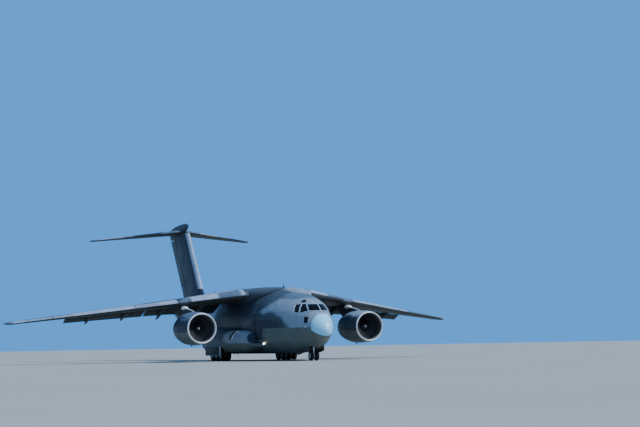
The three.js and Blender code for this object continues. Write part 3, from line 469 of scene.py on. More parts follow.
def loft(rings, caps=True):
    """A skin through like closed rings of points."""
    count = len(rings[0])
    points = [tuple(point) for ring in rings for point in ring]
    faces = []
    for i in range(len(rings) - 1):
        for j in range(count):
            a, b = i * count + j, i * count + (j + 1) % count
            faces.append((a, b, b + count, a + count))
    if caps:
        faces.append(tuple(range(count))[::-1])
        faces.append(tuple((len(rings) - 1) * count + j for j in range(count)))
    return points, faces


def hollow_loft(outer, inner):
    """A shell between two skins with like rings, closed by rims at both ends."""
    shape_out, shape_in = loft(outer, False), loft(inner, False)
    count, shift = len(outer[0]), len(shape_out[0])
    points = shape_out[0] + shape_in[0]
    faces = shape_out[1] + [tuple(index + shift for index in face[::-1]) for face in shape_in[1]]
    last_out, last_in = (len(outer) - 1) * count, shift + (len(inner) - 1) * count
    for j in range(count):
        k = (j + 1) % count
        faces.append((k, j, shift + j, shift + k))
        faces.append((last_out + j, last_out + k, last_in + k, last_in + j))
    return points, faces


def prism(outline, low, high, axis):
    """A flat outline drawn out along an axis: "x" takes (y, z) pairs and "z" takes (x, y) pairs."""
    def at(pair, depth):
        return (depth, *pair) if axis == "x" else (*pair, depth)
    return loft([[at(pair, low) for pair in outline], [at(pair, high) for pair in outline]])


def block(x, y, z):
    """A box from (low, high) pairs."""
    return prism([(x[0], y[0]), (x[1], y[0]), (x[1], y[1]), (x[0], y[1])], z[0], z[1], "z")


def circle(middle, radius, across, up, count):
    turns = [2 * math.pi * i / count for i in range(count)]
    return [Vector(middle) + (across * math.cos(turn) + up * math.sin(turn)) * radius for turn in turns]


def oval(x, place, z, wide, high, count, powers=(1, 1)):
    """A ring around (x, z) at a station. Powers below 1 square it off sideways and upward."""
    ring = []
    for i in range(count):
        turn = 2 * math.pi * i / count
        across, up = math.cos(turn), math.sin(turn)
        across = math.copysign(abs(across) ** powers[0], across)
        up = math.copysign(abs(up) ** powers[1], up)
        ring.append((x + wide * across, place, z + high * up))
    return ring


def tube(path, radii, count=16):
    """A round bar along a path, with one radius or a radius for each point."""
    places = [Vector(point) for point in path]
    sizes = list(radii) if hasattr(radii, "__len__") else [radii] * len(places)
    rings = []
    for i, place in enumerate(places):
        ahead = places[min(i + 1, len(places) - 1)] - places[max(i - 1, 0)]
        aim = ahead.normalized()
        guide = Vector((0, 0, 1)) if abs(aim.z) < 0.9 else Vector((0, 1, 0))
        across = aim.cross(guide).normalized()
        rings.append(circle(place, sizes[i], across, across.cross(aim), count))
    return loft(rings)


def turned(profile, middle=(0, 0, 0), axis="y", count=64, closed=False):
    """A round body from (radius, distance) pairs about an axis through middle."""
    aim = {"x": Vector((1, 0, 0)), "y": Vector((0, 1, 0)), "z": Vector((0, 0, 1))}[axis]
    across = Vector((0, 0, 1)) if axis != "z" else Vector((1, 0, 0))
    up = aim.cross(across)
    rings = [circle(Vector(middle) + aim * along, max(radius, 1e-4), across, up, count)
             for radius, along in profile]
    return loft(rings + [rings[0]], False) if closed else loft(rings)


def placed(shape, matrix):
    """A shape carried by a matrix."""
    points, faces = shape
    return [tuple(matrix @ Vector(point)) for point in points], faces


def mirrored(shape):
    """A shape carried to the other side of the middle plane."""
    points, faces = shape
    return [(-x, y, z) for x, y, z in points], [face[::-1] for face in faces]


def on_side(shape, side):
    return shape if side > 0 else mirrored(shape)


def side_block(x, y, z, side):
    return on_side(block(x, y, z), side)


def make_object(name, parts):
    """One mesh from (shape, finish) pairs, with its stations carried to the frame."""
    slots = list(dict.fromkeys(finish for _, finish in parts))
    points, faces, indices = [], [], []
    for (part_points, part_faces), finish in parts:
        shift = len(points)
        points += [(x, y + NOSE, z) for x, y, z in part_points]
        faces += [tuple(index + shift for index in face) for face in part_faces]
        indices += [slots.index(finish)] * len(part_faces)
    mesh = bpy.data.meshes.new(name)
    mesh.from_pydata(points, [], faces)
    mesh.polygons.foreach_set("material_index", indices)
    whole = bmesh.new()
    whole.from_mesh(mesh)
    bmesh.ops.remove_doubles(whole, verts=whole.verts, dist=1e-5)
    bmesh.ops.recalc_face_normals(whole, faces=whole.faces)
    whole.to_mesh(mesh)
    whole.free()
    thing = bpy.data.objects.new(name, mesh)
    bpy.context.scene.collection.objects.link(thing)
    for finish in slots:
        mesh.materials.append(FINISHES[finish])
    return thing


def settle(thing):
    """Applies the object's modifiers to its mesh."""
    bpy.context.view_layer.update()
    graph = bpy.context.evaluated_depsgraph_get()
    mesh = bpy.data.meshes.new_from_object(thing.evaluated_get(graph))
    thing.modifiers.clear()
    thing.data = mesh
    return thing


def carve(thing, shapes, operation="DIFFERENCE", inside=0):
    """Cuts shapes out of an object, or keeps what is in them. inside numbers the cut faces' finish."""
    tool = make_object("tool", [(shape, "seal") for shape in shapes])
    for polygon in tool.data.polygons:
        polygon.material_index = inside
    step = thing.modifiers.new("carve", "BOOLEAN")
    step.operation = operation
    step.object = tool
    step.solver = "EXACT"
    step.use_self = True
    settle(thing)
    bpy.data.objects.remove(tool)
    return thing


def bevel(thing, width, segments=2, angle=40):
    step = thing.modifiers.new("bevel", "BEVEL")
    step.width = width
    step.segments = segments
    step.limit_method = "ANGLE"
    step.angle_limit = math.radians(angle)
    step.use_clamp_overlap = True
    return settle(thing)


def dress(thing, body="airframe", replaces=()):
    """Smooths a finished piece, hangs it on its body and hides the parts that it stands for."""
    thing.data.shade_smooth()
    thing.data.set_sharp_from_angle(angle=SHARP_ANGLE)
    if replaces:
        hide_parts(*replaces)
    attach(thing, body)
    return thing


def piece(name, parts, body="airframe", replaces=()):
    """A piece that needs no cutting."""
    return dress(make_object(name, parts), body, replaces)


def line_inside(thing):
    """Gives the faces of a body shell that look inward the cabin's lining."""
    thing.data.materials.append(FINISHES["lining"])
    for polygon in thing.data.polygons:
        outward = Vector((polygon.center.x, 0, polygon.center.z - BODY_MIDDLE))
        if polygon.normal.dot(outward) < 0:
            polygon.material_index = 1


# The fuselage: station, half width, top, bottom, height of the widest place, lower power
BODY = (
    (0.5, 0.45, 1.935, 0.825, 1.375, 2),
    (0.725, 0.535, 2.11, 0.742, 1.41, 2),
    (1.145, 0.69, 2.428, 0.602, 1.48, 2.1),
    (1.65, 0.86, 2.64, 0.49, 1.56, 2.2),
    (2.3, 1.04, 2.81, 0.4, 1.65, 2.4),
    (3.2, 1.225, 2.965, 0.335, 1.74, 2.6),
    (4.25, 1.365, 3.11, 0.31, 1.79, 2.8),
    (5.3, 1.415, 3.21, 0.31, 1.798, 2.95),
    (6.5, 1.43, 3.275, 0.31, 1.8, 3),
    (11.2, 1.43, 3.275, 0.31, 1.8, 3),
    (12.4, 1.43, 3.265, 0.325, 1.81, 3),
    (13.8, 1.405, 3.265, 0.725, 1.96, 2.8),
    (15.0, 1.35, 3.27, 1.05, 2.11, 2.6),
    (16.3, 1.24, 3.26, 1.425, 2.29, 2.4),
    (17.5, 1.08, 3.22, 1.8, 2.46, 2.2),
    (18.525, 0.88, 3.16, 2.1, 2.6, 2),
    (19.45, 0.6, 3.06, 2.375, 2.72, 2),
    (20.155, 0.06, 2.8, 2.74, 2.77, 2),
)
BODY_POINTS = 96
BODY_MIDDLE = 1.8
WALL = 0.07
SECTION_GAP = 0.0006
RADOME_SEAM = 0.5
RADOME_TIP = 1.325


def straight_row(table, place):
    """Straight interpolation in a table whose first column is the place."""
    after = next((i for i in range(1, len(table)) if table[i][0] >= place), len(table) - 1)
    low, high = table[after - 1], table[after]
    share = (place - low[0]) / (high[0] - low[0])
    return [a + (b - a) * share for a, b in zip(low, high)]


def smooth_row(table, place):
    """Smooth interpolation that never swings past the rows around it."""
    after = next((i for i in range(1, len(table)) if table[i][0] >= place), len(table) - 1)
    gaps = [table[i + 1][0] - table[i][0] for i in range(len(table) - 1)]
    share = (place - table[after - 1][0]) / gaps[after - 1]
    row = [place]
    for column in range(1, len(table[0])):
        steps = [(table[i + 1][column] - table[i][column]) / gaps[i] for i in range(len(gaps))]
        def slope(i):
            if i == 0:
                return steps[0]
            if i == len(gaps):
                return steps[-1]
            left, right = steps[i - 1], steps[i]
            return 0.0 if left * right <= 0 else 2 * left * right / (left + right)
        a, b = table[after - 1][column], table[after][column]
        m0, m1 = slope(after - 1) * gaps[after - 1], slope(after) * gaps[after - 1]
        t2, t3 = share ** 2, share ** 3
        row.append((2 * t3 - 3 * t2 + 1) * a + (t3 - 2 * t2 + share) * m0
                   + (3 * t2 - 2 * t3) * b + (t3 - t2) * m1)
    return row


def curve_point(angle, power):
    c, s = math.cos(angle), math.sin(angle)
    exponent = 2 / power
    return math.copysign(abs(c) ** exponent, c), math.copysign(abs(s) ** exponent, s)


def body_ring(station, grow=0.0, count=BODY_POINTS):
    _, half, top, bottom, middle, power = smooth_row(BODY, station)
    ring = []
    for i in range(count):
        angle = 2 * math.pi * i / count
        x, z = curve_point(angle, 2 if math.sin(angle) >= 0 else power)
        if math.sin(angle) >= 0:
            ring.append((x * (half + grow), station, middle + z * (top - middle + grow)))
        else:
            ring.append((x * (half + grow), station, middle + z * (middle - bottom + grow)))
    return ring


def stations(first, last, step):
    count = max(1, round((last - first) / step))
    return [first + (last - first) * i / count for i in range(count + 1)]


def body_shell(first, last, step=0.1, depth=WALL, outside=0.0):
    """The fuselage skin between two stations, as a closed shell."""
    places = stations(first, last, step)
    return hollow_loft(
        [body_ring(place, outside) for place in places],
        [body_ring(place, outside - depth) for place in places])


def fuselage_section(name, first, last, node, cutters, step=0.1):
    thing = make_object(name, [(body_shell(first + SECTION_GAP, last - SECTION_GAP, step), "body")])
    line_inside(thing)
    carve(thing, cutters, inside=1)
    dress(thing, replaces=(node,))


def side_prism(outline, side, low=0.2, high=2.2):
    """An outline of (station, height) pairs cut in from one side."""
    return on_side(prism(outline, low, high, "x"), side)


def grown(outline, by):
    """An outline moved outward by a distance, corner by corner."""
    middle = Vector((sum(p[0] for p in outline) / len(outline), sum(p[1] for p in outline) / len(outline)))
    result = []
    for i, point in enumerate(outline):
        here = Vector(point)
        before = (here - Vector(outline[i - 1])).normalized()
        after = (Vector(outline[(i + 1) % len(outline)]) - here).normalized()
        lean = before - after
        lean = lean.normalized() if lean.length > 1e-6 else (here - middle).normalized()
        sine = max(0.3, abs(lean.x * after.y - lean.y * after.x))
        if lean.dot(here - middle) < 0:
            lean = -lean
        result.append(tuple(here + lean * by / sine))
    return result


def rounded(outline, radius, steps=3):
    """An outline with its corners rounded off."""
    result = []
    for i, point in enumerate(outline):
        here = Vector(point)
        to_before = Vector(outline[i - 1]) - here
        to_after = Vector(outline[(i + 1) % len(outline)]) - here
        reach = min(radius, to_before.length * 0.45, to_after.length * 0.45)
        start, end = here + to_before.normalized() * reach, here + to_after.normalized() * reach
        for k in range(steps + 1):
            share = k / steps
            result.append(tuple(start * (1 - share) ** 2 + here * 2 * share * (1 - share) + end * share ** 2))
    return result


# Flight deck windows, as (x, station) in plan for the windscreen and (station, height) from the side
WINDOW_SILL = 2.12
WINDOW_HEAD = 2.4
WINDSCREEN = ((0.02, 0.6), (0.02, 1.45), (0.345, 1.45), (0.43, 1.02), (0.43, 0.6))
SIDE_WINDOWS = (
    ((1.03, 2.11), (1.435, 2.035), (1.6, 2.42), (1.41, 2.42)),
    ((1.48, 2.035), (1.8, 2.08), (1.93, 2.4), (1.65, 2.42)),
    ((0.86, 1.6), (1.07, 1.6), (1.12, 1.86), (0.88, 1.85)),
    ((1.5, 2.475), (1.74, 2.475), (1.86, 2.6), (1.7, 2.61)),
)
NOSE_END = 3.2
WELL = {"half": 0.335, "front": 1.25, "rear": 2.56}


def window_tools(grow, corner, whole=True):
    """Cutters for the windows: all of them, or only the windscreen and the two side windows."""
    tools = []
    for _, side in SIDES:
        front = rounded(grown(WINDSCREEN, grow), corner)
        plan = [(x * side, y) for x, y in front]
        tools.append(prism(plan, WINDOW_SILL - grow, WINDOW_HEAD + grow, "z"))
        for outline in SIDE_WINDOWS if whole else SIDE_WINDOWS[:2]:
            tools.append(side_prism(rounded(grown(outline, grow), corner), side))
    return tools


def radome():
    steps = 28
    seam = body_ring(RADOME_SEAM)
    middle = BODY[0][4]
    rings = []
    for i in range(1, steps + 1):
        swell = i / steps
        share = swell ** 2
        height = RADOME_TIP + (middle - RADOME_TIP) * share
        rings.append([(x * swell, RADOME_SEAM * share, height + (z - middle) * swell) for x, _, z in seam])
    piece("radome_skin", [(loft(rings), "radome")], replaces=("radome",))


def nose_section():
    well = block((-WELL["half"], WELL["half"]), (WELL["front"], WELL["rear"]), (-0.01, 0.8))
    cutters = window_tools(0.0, 0.015) + [well]
    fuselage_section("nose_skin", RADOME_SEAM, NOSE_END, "nose_shell", cutters, 0.05)
    band = body_shell(0.52, 2.1, 0.04, 0.016, -0.004)
    panes = make_object("flight_deck_panes", [(band, "glass")])
    carve(panes, window_tools(0.012, 0.015), "INTERSECT")
    dress(panes, replaces=("flight_deck_glazing",))
    frames = make_object("window_frames", [(body_shell(0.52, 2.1, 0.04, 0.02, 0.005), "frame")])
    carve(frames, window_tools(0.022, 0.03, False), "INTERSECT")
    carve(frames, window_tools(-0.002, 0.015, False))
    dress(frames)


# The wing: x, leading edge station, leading edge height, chord, thickness share, nose-up share
WING = (
    (1.565, 5.575, 2.94, 4.33, 0.145, 0.05),
    (4.0, 6.985, 2.66, 3.0, 0.125, 0.035),
    (7.5, 9.011, 2.256, 2.08, 0.115, 0.02),
    (11.1, 11.095, 1.84, 1.15, 0.105, 0),
)
CAMBER = 0.015
CHORD_STEPS = 22
# Half the depth of the blunt rear edges
EDGE_HALF = 0.0015
WING_ROOT = 1.567
WING_TIP = HALF_SPAN - 0.16
FLAP_ANGLE = 0.42
DOOR_GAP = 0.008
AILERON = {"from": 8.48, "to": 10.8, "share": 0.74, "clear": 0.06, "tube": (0.045, 0.025)}
FLAPS = {"flap_inner": (1.64, 4.96), "flap_outer": (5.01, 8.43)}
FLAP_SHARE = 0.72
FLAP_TRACKS = ((2.65, 0.82), (4.325, 0.7), (5.9, 0.54), (7.45, 0.48))


def thickness_at(share):
    return 5 * (0.2969 * math.sqrt(share) - 0.126 * share - 0.3516 * share ** 2
                + 0.2843 * share ** 3 - 0.1015 * share ** 4)


def half_depth(share, chord, thickness):
    """Half the depth of an aerofoil at a share of its chord."""
    return thickness_at(share) * thickness * chord + EDGE_HALF


def mean_line(share, chord, bend, droop):
    """Height of an aerofoil's middle over its nose at a share of its chord."""
    return 4 * bend * chord * share * (1 - share) - droop * chord * share


def section(chord, thickness, bend, droop):
    """An aerofoil as (aft, up) pairs, round from the top rear over the nose to the bottom rear."""
    shares = [1 - math.cos(math.pi * i / (2 * CHORD_STEPS)) for i in range(CHORD_STEPS + 1)]
    pairs = []
    for share, side in [(s, 1) for s in reversed(shares)] + [(s, -1) for s in shares[1:]]:
        half = half_depth(share, chord, thickness) if share else 0.0
        pairs.append((share * chord, mean_line(share, chord, bend, droop) + side * half))
    return pairs


def section_ring(table, x, side, bend):
    _, lead, rise, chord, thickness, droop = straight_row(table, x)
    return [(side * x, lead + aft, rise + up) for aft, up in section(chord, thickness, bend, droop)]


def section_point(row, side, share, bend, sign, grow=0.0):
    """A point of a section's upper skin for sign 1, of its lower skin for -1 and of its middle for 0."""
    x, lead, rise, chord, thickness, droop = row
    up = sign * (half_depth(share, chord, thickness) + grow)
    return (side * x, lead + share * chord, rise + mean_line(share, chord, bend, droop) + up)


def wing_places(first, last, step=0.3):
    kinks = [row[0] for row in WING if first + 0.01 < row[0] < last - 0.01]
    edges = [first] + kinks + [last]
    places = []
    for low, high in zip(edges, edges[1:]):
        places += stations(low, high, step)[:-1]
    return places + [last]


def chord_line(table, x, share):
    _, lead, _, chord = straight_row(table, x)[:4]
    return lead + share * chord


def chord_strip(table, first, last, share, ahead, side):
    """Everything behind a share of the chord, between two distances from the middle plane."""
    kinks = [row[0] for row in table if first < row[0] < last]
    front = [(side * x, chord_line(table, x, share) - ahead) for x in [first] + kinks + [last]]
    outline = front + [(side * last, FAR), (side * first, FAR)]
    return prism(outline, -1.0, 9.0, "z")


def upper_lower(thing, upper, lower, bias):
    """Gives faces that look up by more than a bias one finish, and the others another."""
    thing.data.materials.clear()
    for name in (upper, lower):
        thing.data.materials.append(FINISHES[name])
    for polygon in thing.data.polygons:
        polygon.material_index = 0 if polygon.normal.z > bias else 1


def flap_ring(x, side):
    _, lead, rise, chord, thickness, droop = straight_row(WING, x)
    y = lead + chord * FLAP_SHARE + 0.09
    z = rise - droop * chord * FLAP_SHARE - 0.055
    pairs = section(chord * (1 - FLAP_SHARE) * 1.02, thickness * 0.95, 0.01, 0)
    cosine, sine = math.cos(FLAP_ANGLE), math.sin(FLAP_ANGLE)
    return [(side * x, y + aft * cosine + up * sine, z - aft * sine + up * cosine) for aft, up in pairs]


CANOE = ((0, 0.012, 0.02), (0.15, 0.048, 0.07), (0.45, 0.062, 0.095), (0.75, 0.052, 0.08), (1, 0.01, 0.018))


def track_fairing(x, drop, side):
    """A canoe that carries a flap track: it hangs from the wing and dips with the flap."""
    _, lead, rise, chord, _, droop = straight_row(WING, x)
    start, end = lead + 0.46 * chord, lead + 1.02 * chord + 0.15
    top, foot = rise - (0.5 * droop + 0.03) * chord, rise - drop + 0.03
    rings = []
    for i in range(25):
        share = i / 24
        _, half, deep = smooth_row(CANOE, share)
        spread = deep + 0.13 * math.sin(math.pi * share)
        ring = []
        for k in range(20):
            angle = 2 * math.pi * k / 20
            reach = spread if math.sin(angle) > 0.01 else deep
            ring.append((side * x + math.cos(angle) * half, start + (end - start) * share,
                         top + (foot - top) * share ** 1.3 + math.sin(angle) * reach))
        rings.append(ring)
    return loft(rings)


def wing(name, side):
    rings = [section_ring(WING, x, side, CAMBER) for x in wing_places(WING_ROOT, WING_TIP)]
    # The tip closes in a quarter round
    tip = rings[-1]
    middle = Vector((0, sum(p[1] for p in tip) / len(tip), sum(p[2] for p in tip) / len(tip)))
    for i in range(1, 6):
        turn = i * math.pi / 10
        shrink = math.cos(turn) * 0.9 + 0.1
        x = WING_TIP + 0.155 * math.sin(turn)
        rings.append([(side * x, middle.y + (y - middle.y) * (0.55 + 0.45 * shrink) + 0.1 * (1 - shrink),
                       middle.z + (z - middle.z) * shrink) for _, y, z in tip])
    thing = make_object(f"wing_skin_{name}", [(loft(rings), "wing")])
    tools = [chord_strip(WING, low, high, FLAP_SHARE, 0, side) for low, high in FLAPS.values()]
    tools.append(chord_strip(WING, AILERON["from"], AILERON["to"], AILERON["share"], AILERON["clear"], side))
    carve(thing, tools)
    upper_lower(thing, "wing", "under", 0.02)
    dress(thing, replaces=(f"wing_{name}",))
    tracks = [(track_fairing(x, drop, side), "under") for x, drop in FLAP_TRACKS]
    piece(f"flap_track_fairings_{name}", tracks)
    for zone, (low, high) in FLAPS.items():
        rings = [flap_ring(x, side) for x in wing_places(low + DOOR_GAP, high - DOOR_GAP)]
        flap = make_object(f"{zone}_skin_{name}", [(loft(rings), "wing")])
        upper_lower(flap, "wing", "under", -0.1)
        dress(flap, replaces=(f"{zone}_{name}",))
    slats(name, side)
    spoilers(name, side)
    hinged_surface(f"aileron_{name}", WING, AILERON, side, CAMBER, ("wing", "under"))


SLATS = ((1.6, 3.7), (4.25, 5.9), (5.93, 7.55), (7.58, 9.2), (9.23, 10.85))
SLAT_DEPTH = 0.01
SPOILERS = ((1.75, 2.7), (2.72, 3.7), (3.72, 4.9), (5.1, 6.2), (6.22, 7.3), (7.32, 8.35))
# A spoiler's outline as share of the chord and height over the wing's skin
SPOILER_SECTION = (
    (0.6, 0.006), (0.66, 0.006), (0.72, 0.006), (0.785, 0.004), (0.785, -0.008), (0.72, -0.014), (0.6, -0.01))


def slat_ring(x, side):
    """The outer skin of a slat from its upper rear edge round the nose, and back a little deeper."""
    row = straight_row(WING, x)
    _, lead, rise, *_ = row
    def skin(shares, sign, grow):
        return [section_point(row, side, share, CAMBER, sign, grow) for share in shares]
    uppers = [0.115 * (1 - i / 10) ** 2 for i in range(10)]
    lowers = [0.045 * (i / 6) ** 2 for i in range(1, 7)]
    nose = [(side * x, lead - SLAT_DEPTH, rise)]
    outer = skin(uppers, 1, SLAT_DEPTH) + nose + skin(lowers, -1, SLAT_DEPTH)
    inner = skin(lowers[::-1], -1, 0.0) + [(side * x, lead, rise)] + skin(uppers[::-1], 1, 0.0)
    return outer + inner


def slats(name, side):
    parts = [(loft([slat_ring(x, side) for x in wing_places(low, high)]), "edge") for low, high in SLATS]
    thing = make_object(f"slats_{name}", parts)
    # Painted light and shade: upward faces take the pale edge paint and the rest the painted-shade grey, and
    # on the far wing only the top stays pale, so most of its slats are painted shade
    upper_lower(thing, "edge", "under", -0.05 if side < 0 else 0.62)
    dress(thing)


def spoiler_ring(x, side):
    _, lead, rise, chord, thickness, droop = straight_row(WING, x)
    ring = []
    for share, deep in SPOILER_SECTION:
        height = mean_line(share, chord, CAMBER, droop) + thickness_at(share) * thickness * chord + deep
        ring.append((side * x, lead + share * chord, rise + height))
    return ring


def spoilers(name, side):
    """Thin upper panels that cover the front of the flaps."""
    piece(f"spoilers_{name}", [(loft([spoiler_ring(x, side) for x in ends]), "wing") for ends in SPOILERS])


def hinged_surface(node, table, zone, side, bend, finishes):
    """A control surface with its round nose, cut from the whole section."""
    low, high, share = zone["from"] + DOOR_GAP, zone["to"] - DOOR_GAP, zone["share"]
    kinks = [row[0] for row in table if low < row[0] < high]
    shares = [share + (1 - share) * i / 12 for i in range(1, 13)]
    turns = [math.pi / 2 + math.pi * k / 12 for k in range(1, 12)]
    rings = []
    for x in sorted(set(stations(low, high, 0.3) + kinks)):
        row = straight_row(table, x)
        _, y, z = section_point(row, side, share, bend, 0)
        half = half_depth(share, row[3], row[4])
        along = (x - zone["from"] + 0.1) / (zone["to"] - zone["from"] + 0.2)
        radius = min(half, zone["tube"][0] + (zone["tube"][1] - zone["tube"][0]) * along)
        upper = [section_point(row, side, s, bend, 1) for s in reversed(shares)]
        nose = [(side * x, y + math.cos(turn) * radius, z + math.sin(turn) * half) for turn in turns]
        rings.append(upper + nose + [section_point(row, side, s, bend, -1) for s in shares])
    thing = make_object(f"{node}_skin", [(loft(rings), finishes[0])])
    upper_lower(thing, *finishes, -0.1)
    dress(thing, node, replaces=(node,))


# Centre wing fairing: station, half width, top, bottom
FAIRING = (
    (4.7, 0.65, 3.19, 2.9),
    (5.1, 1.15, 3.25, 2.7),
    (5.6, 1.45, 3.285, 2.56),
    (6.3, 1.562, 3.305, 2.48),
    (9.5, 1.562, 3.305, 2.48),
    (10.5, 1.25, 3.29, 2.6),
    (11.5, 0.65, 3.28, 2.9),
)


def fairing_ring(station):
    _, half, top, bottom = smooth_row(FAIRING, station)
    return oval(0, station, (top + bottom) / 2, half, (top - bottom) / 2, 72, (0.75, 0.75))


def side_fairing_ring(place, depth):
    """The body ring, swollen below the wing root between the shoulder and the sponson."""
    ring = []
    lengthwise = min(1.0, max(0.0, (place - 4.98) / 0.3), max(0.0, (10.6 - place) / 0.8))
    for x, y, z in body_ring(place):
        height = min(1.0, max(0.0, (z - 1.3) / 0.35), max(0.0, (3.0 - z) / 0.2))
        swell = 0.06 * math.sin(math.pi / 2 * lengthwise) * (3 - 2 * height) * height ** 2
        grow = swell - 0.006 if depth == 0 else -depth
        ring.append((x + math.copysign(grow, x), y, z))
    return ring


def centre_wing():
    places = stations(4.98, 10.6, 0.1)
    outer, inner = ([side_fairing_ring(place, depth) for place in places] for depth in (0, 0.03))
    piece("side_fairing", [(hollow_loft(outer, inner), "body")])
    places = stations(4.7, 11.5, 0.1)
    thing = make_object("wing_fairing", [(loft([fairing_ring(place) for place in places]), "body")])
    _, lead, rise, chord, thickness, droop = WING[0]
    root = section(chord, thickness, CAMBER, droop)
    carry = loft([[(x, lead + aft, rise + up) for aft, up in root] for x in (-1.566, 1.566)])
    carve(thing, [carry], "UNION")
    carve(thing, [loft([body_ring(place, -WALL) for place in stations(4.5, 12.0, 0.3)])])
    dress(thing, replaces=("wing_centre",))


# Fin: height, leading edge station, chord, thickness share
FIN = ((3.0, 15.7, 3.45, 0.11), (3.5, 16.245, 3.18, 0.115), (6.6, 18.381, 3.16, 0.1))
FIN_SHARE = 0.68
RUDDER = {"from": 3.76, "to": 6.34, "clear": 0.112, "end": 0.033, "fall": 0.022}
TAIL = ((0.0, 19.0, 6.68, 2.5, 0.11, 0.0), (4.32, 21.15, 6.31, 0.8, 0.1, 0.0))
ELEVATOR = {"from": 0.3, "to": 4.18, "share": 0.7, "clear": 0.062, "tube": (0.05, 0.022)}
BULLET = (
    (18.4, 0.02, 6.965, 6.925),
    (18.7, 0.1, 7.085, 6.78),
    (19.3, 0.16, 7.1, 6.601),
    (20.4, 0.165, 7.03, 6.601),
    (21.2, 0.1, 6.9, 6.64),
    (21.5, 0.02, 6.8, 6.76),
)


def fin_ring(height):
    _, lead, chord, thickness = straight_row(FIN, height)
    return [(across, lead + aft, height) for aft, across in section(chord, thickness, 0, 0)]


def fin_edge_ring(height):
    """The fin's pale leading edge: a thin skin wrapped round its nose, in pale paint that is partly a painted
    highlight of the lit edge.
    """
    _, lead, chord, thickness = straight_row(FIN, height)
    def at(share, sign, grow):
        across = sign * (half_depth(share, chord, thickness) + grow)
        return (across, lead + share * chord - (grow if share == 0 else 0), height)
    shares = [0.075 * (1 - i / 8) ** 2 for i in range(9)]
    outer = [at(share, 1, 0.006) for share in shares]
    outer += [at(share, -1, 0.006) for share in reversed(shares[:-1])]
    inner = [at(share, -1, -0.004) for share in shares[:-1]]
    inner += [at(share, 1, -0.004) for share in reversed(shares)]
    return outer + inner


def fin_and_rudder():
    heights = stations(3.0, 3.5, 0.1)[:-1] + stations(3.5, 6.6, 0.25)
    thing = make_object("fin_skin", [(loft([fin_ring(z) for z in heights]), "fin")])
    def line(z, ahead):
        _, lead, chord, _ = straight_row(FIN, z)
        return lead + FIN_SHARE * chord - ahead
    low, high = RUDDER["from"], RUDDER["to"]
    strip = [(line(low, RUDDER["clear"]), low), (line(high, RUDDER["clear"]), high), (FAR, high), (FAR, low)]
    carve(thing, [prism(strip, -1, 1, "x")])
    dress(thing, replaces=("fin",))
    stripe = [fin_edge_ring(z) for z in stations(3.6, 6.58, 0.3)]
    piece("fin_leading_edge", [(loft(stripe), "edge")])
    rings = []
    for z in stations(low + RUDDER["end"], high - RUDDER["end"], 0.25):
        _, lead, chord, thickness = straight_row(FIN, z)
        half = thickness_at(FIN_SHARE) * thickness * chord
        shares = [FIN_SHARE + (1 - FIN_SHARE) * i / 12 for i in range(1, 13)]
        start = [(half_depth(s, chord, thickness), lead + s * chord, z) for s in reversed(shares)]
        turns = [math.pi * k / 12 for k in range(1, 12)]
        nose = [(math.cos(turn) * half, line(z, 0) - math.sin(turn) * 0.08, z) for turn in turns]
        end = [(-half_depth(s, chord, thickness), lead + s * chord, z) for s in shares]
        # Both ends fall a little aft of the hinge, so that they clear the fin when the rudder turns
        ring = start + nose + end
        rings.append([(x, y, z - RUDDER["fall"] * max(0.0, y - line(z, 0))) for x, y, z in ring])
    piece("rudder_skin", [(loft(rings), "fin")], "rudder", replaces=("rudder",))


def tailplane():
    places = stations(0, 4.32, 0.27)
    rings = [section_ring(TAIL, x, -1, 0) for x in reversed(places[1:])]
    rings += [section_ring(TAIL, x, 1, 0) for x in places]
    thing = make_object("tailplane_skin", [(loft(rings), "tail")])
    tools = [chord_strip(TAIL, ELEVATOR["from"], ELEVATOR["to"], ELEVATOR["share"], ELEVATOR["clear"], side)
             for _, side in SIDES]
    carve(thing, tools)
    upper_lower(thing, "tail", "under", 0.02)
    dress(thing, replaces=("tailplane",))
    rings = []
    for place in stations(18.4, 21.5, 0.1):
        _, half, top, bottom = smooth_row(BULLET, place)
        rings.append(oval(0, place, (top + bottom) / 2, half, (top - bottom) / 2, 32))
    piece("tail_bullet", [(loft(rings), "fin")])
    for name, side in SIDES:
        hinged_surface(f"elevator_{name}", TAIL, ELEVATOR, side, 0.0, ("tail", "under"))


def tip_fittings():
    """Coloured lights on the wing tips, a white one on the tail, and thin dischargers behind the tips."""
    for name, side in SIDES:
        x = HALF_SPAN - 0.17
        _, lead, rise, chord, *_ = straight_row(WING, x)
        rings = []
        for i in range(9):
            turn = math.pi * i / 8
            size = 0.034 * math.sin(turn) ** 0.7 + 0.001
            place = lead + 0.12 - 0.08 * math.cos(turn)
            rings.append(oval(side * (x + 0.03), place, rise - 0.002, side * size, 0.9 * size, 20))
        parts = [(loft(rings), "red_lamp" if side > 0 else "green_lamp")]
        ends = [(x + off, lead + chord, rise + 0.012, 0.09) for off in (-0.12, -0.04, 0.04)]
        x = 4.27
        _, lead, rise, chord, *_ = straight_row(TAIL, x)
        ends += [(x + off, lead + chord, rise, 0.08) for off in (-0.03, 0.03)]
        for x, rear, height, length in ends:
            path = [(side * x, rear - 0.03, height), (side * x, rear + length, height)]
            parts.append((tube(path, [0.004, 0.002], 8), "black"))
        piece(f"tip_fittings_{name}", parts)
    lamp = [(0.0, -0.012), (0.02, -0.01), (0.026, 0.0), (0.022, 0.03), (0.012, 0.042), (0.0, 0.045)]
    station, _, top, bottom = BULLET[-1]
    piece("tail_lamp", [(turned(lamp, (0, station - 0.03, (top + bottom) / 2), "y", 20), "lens")])


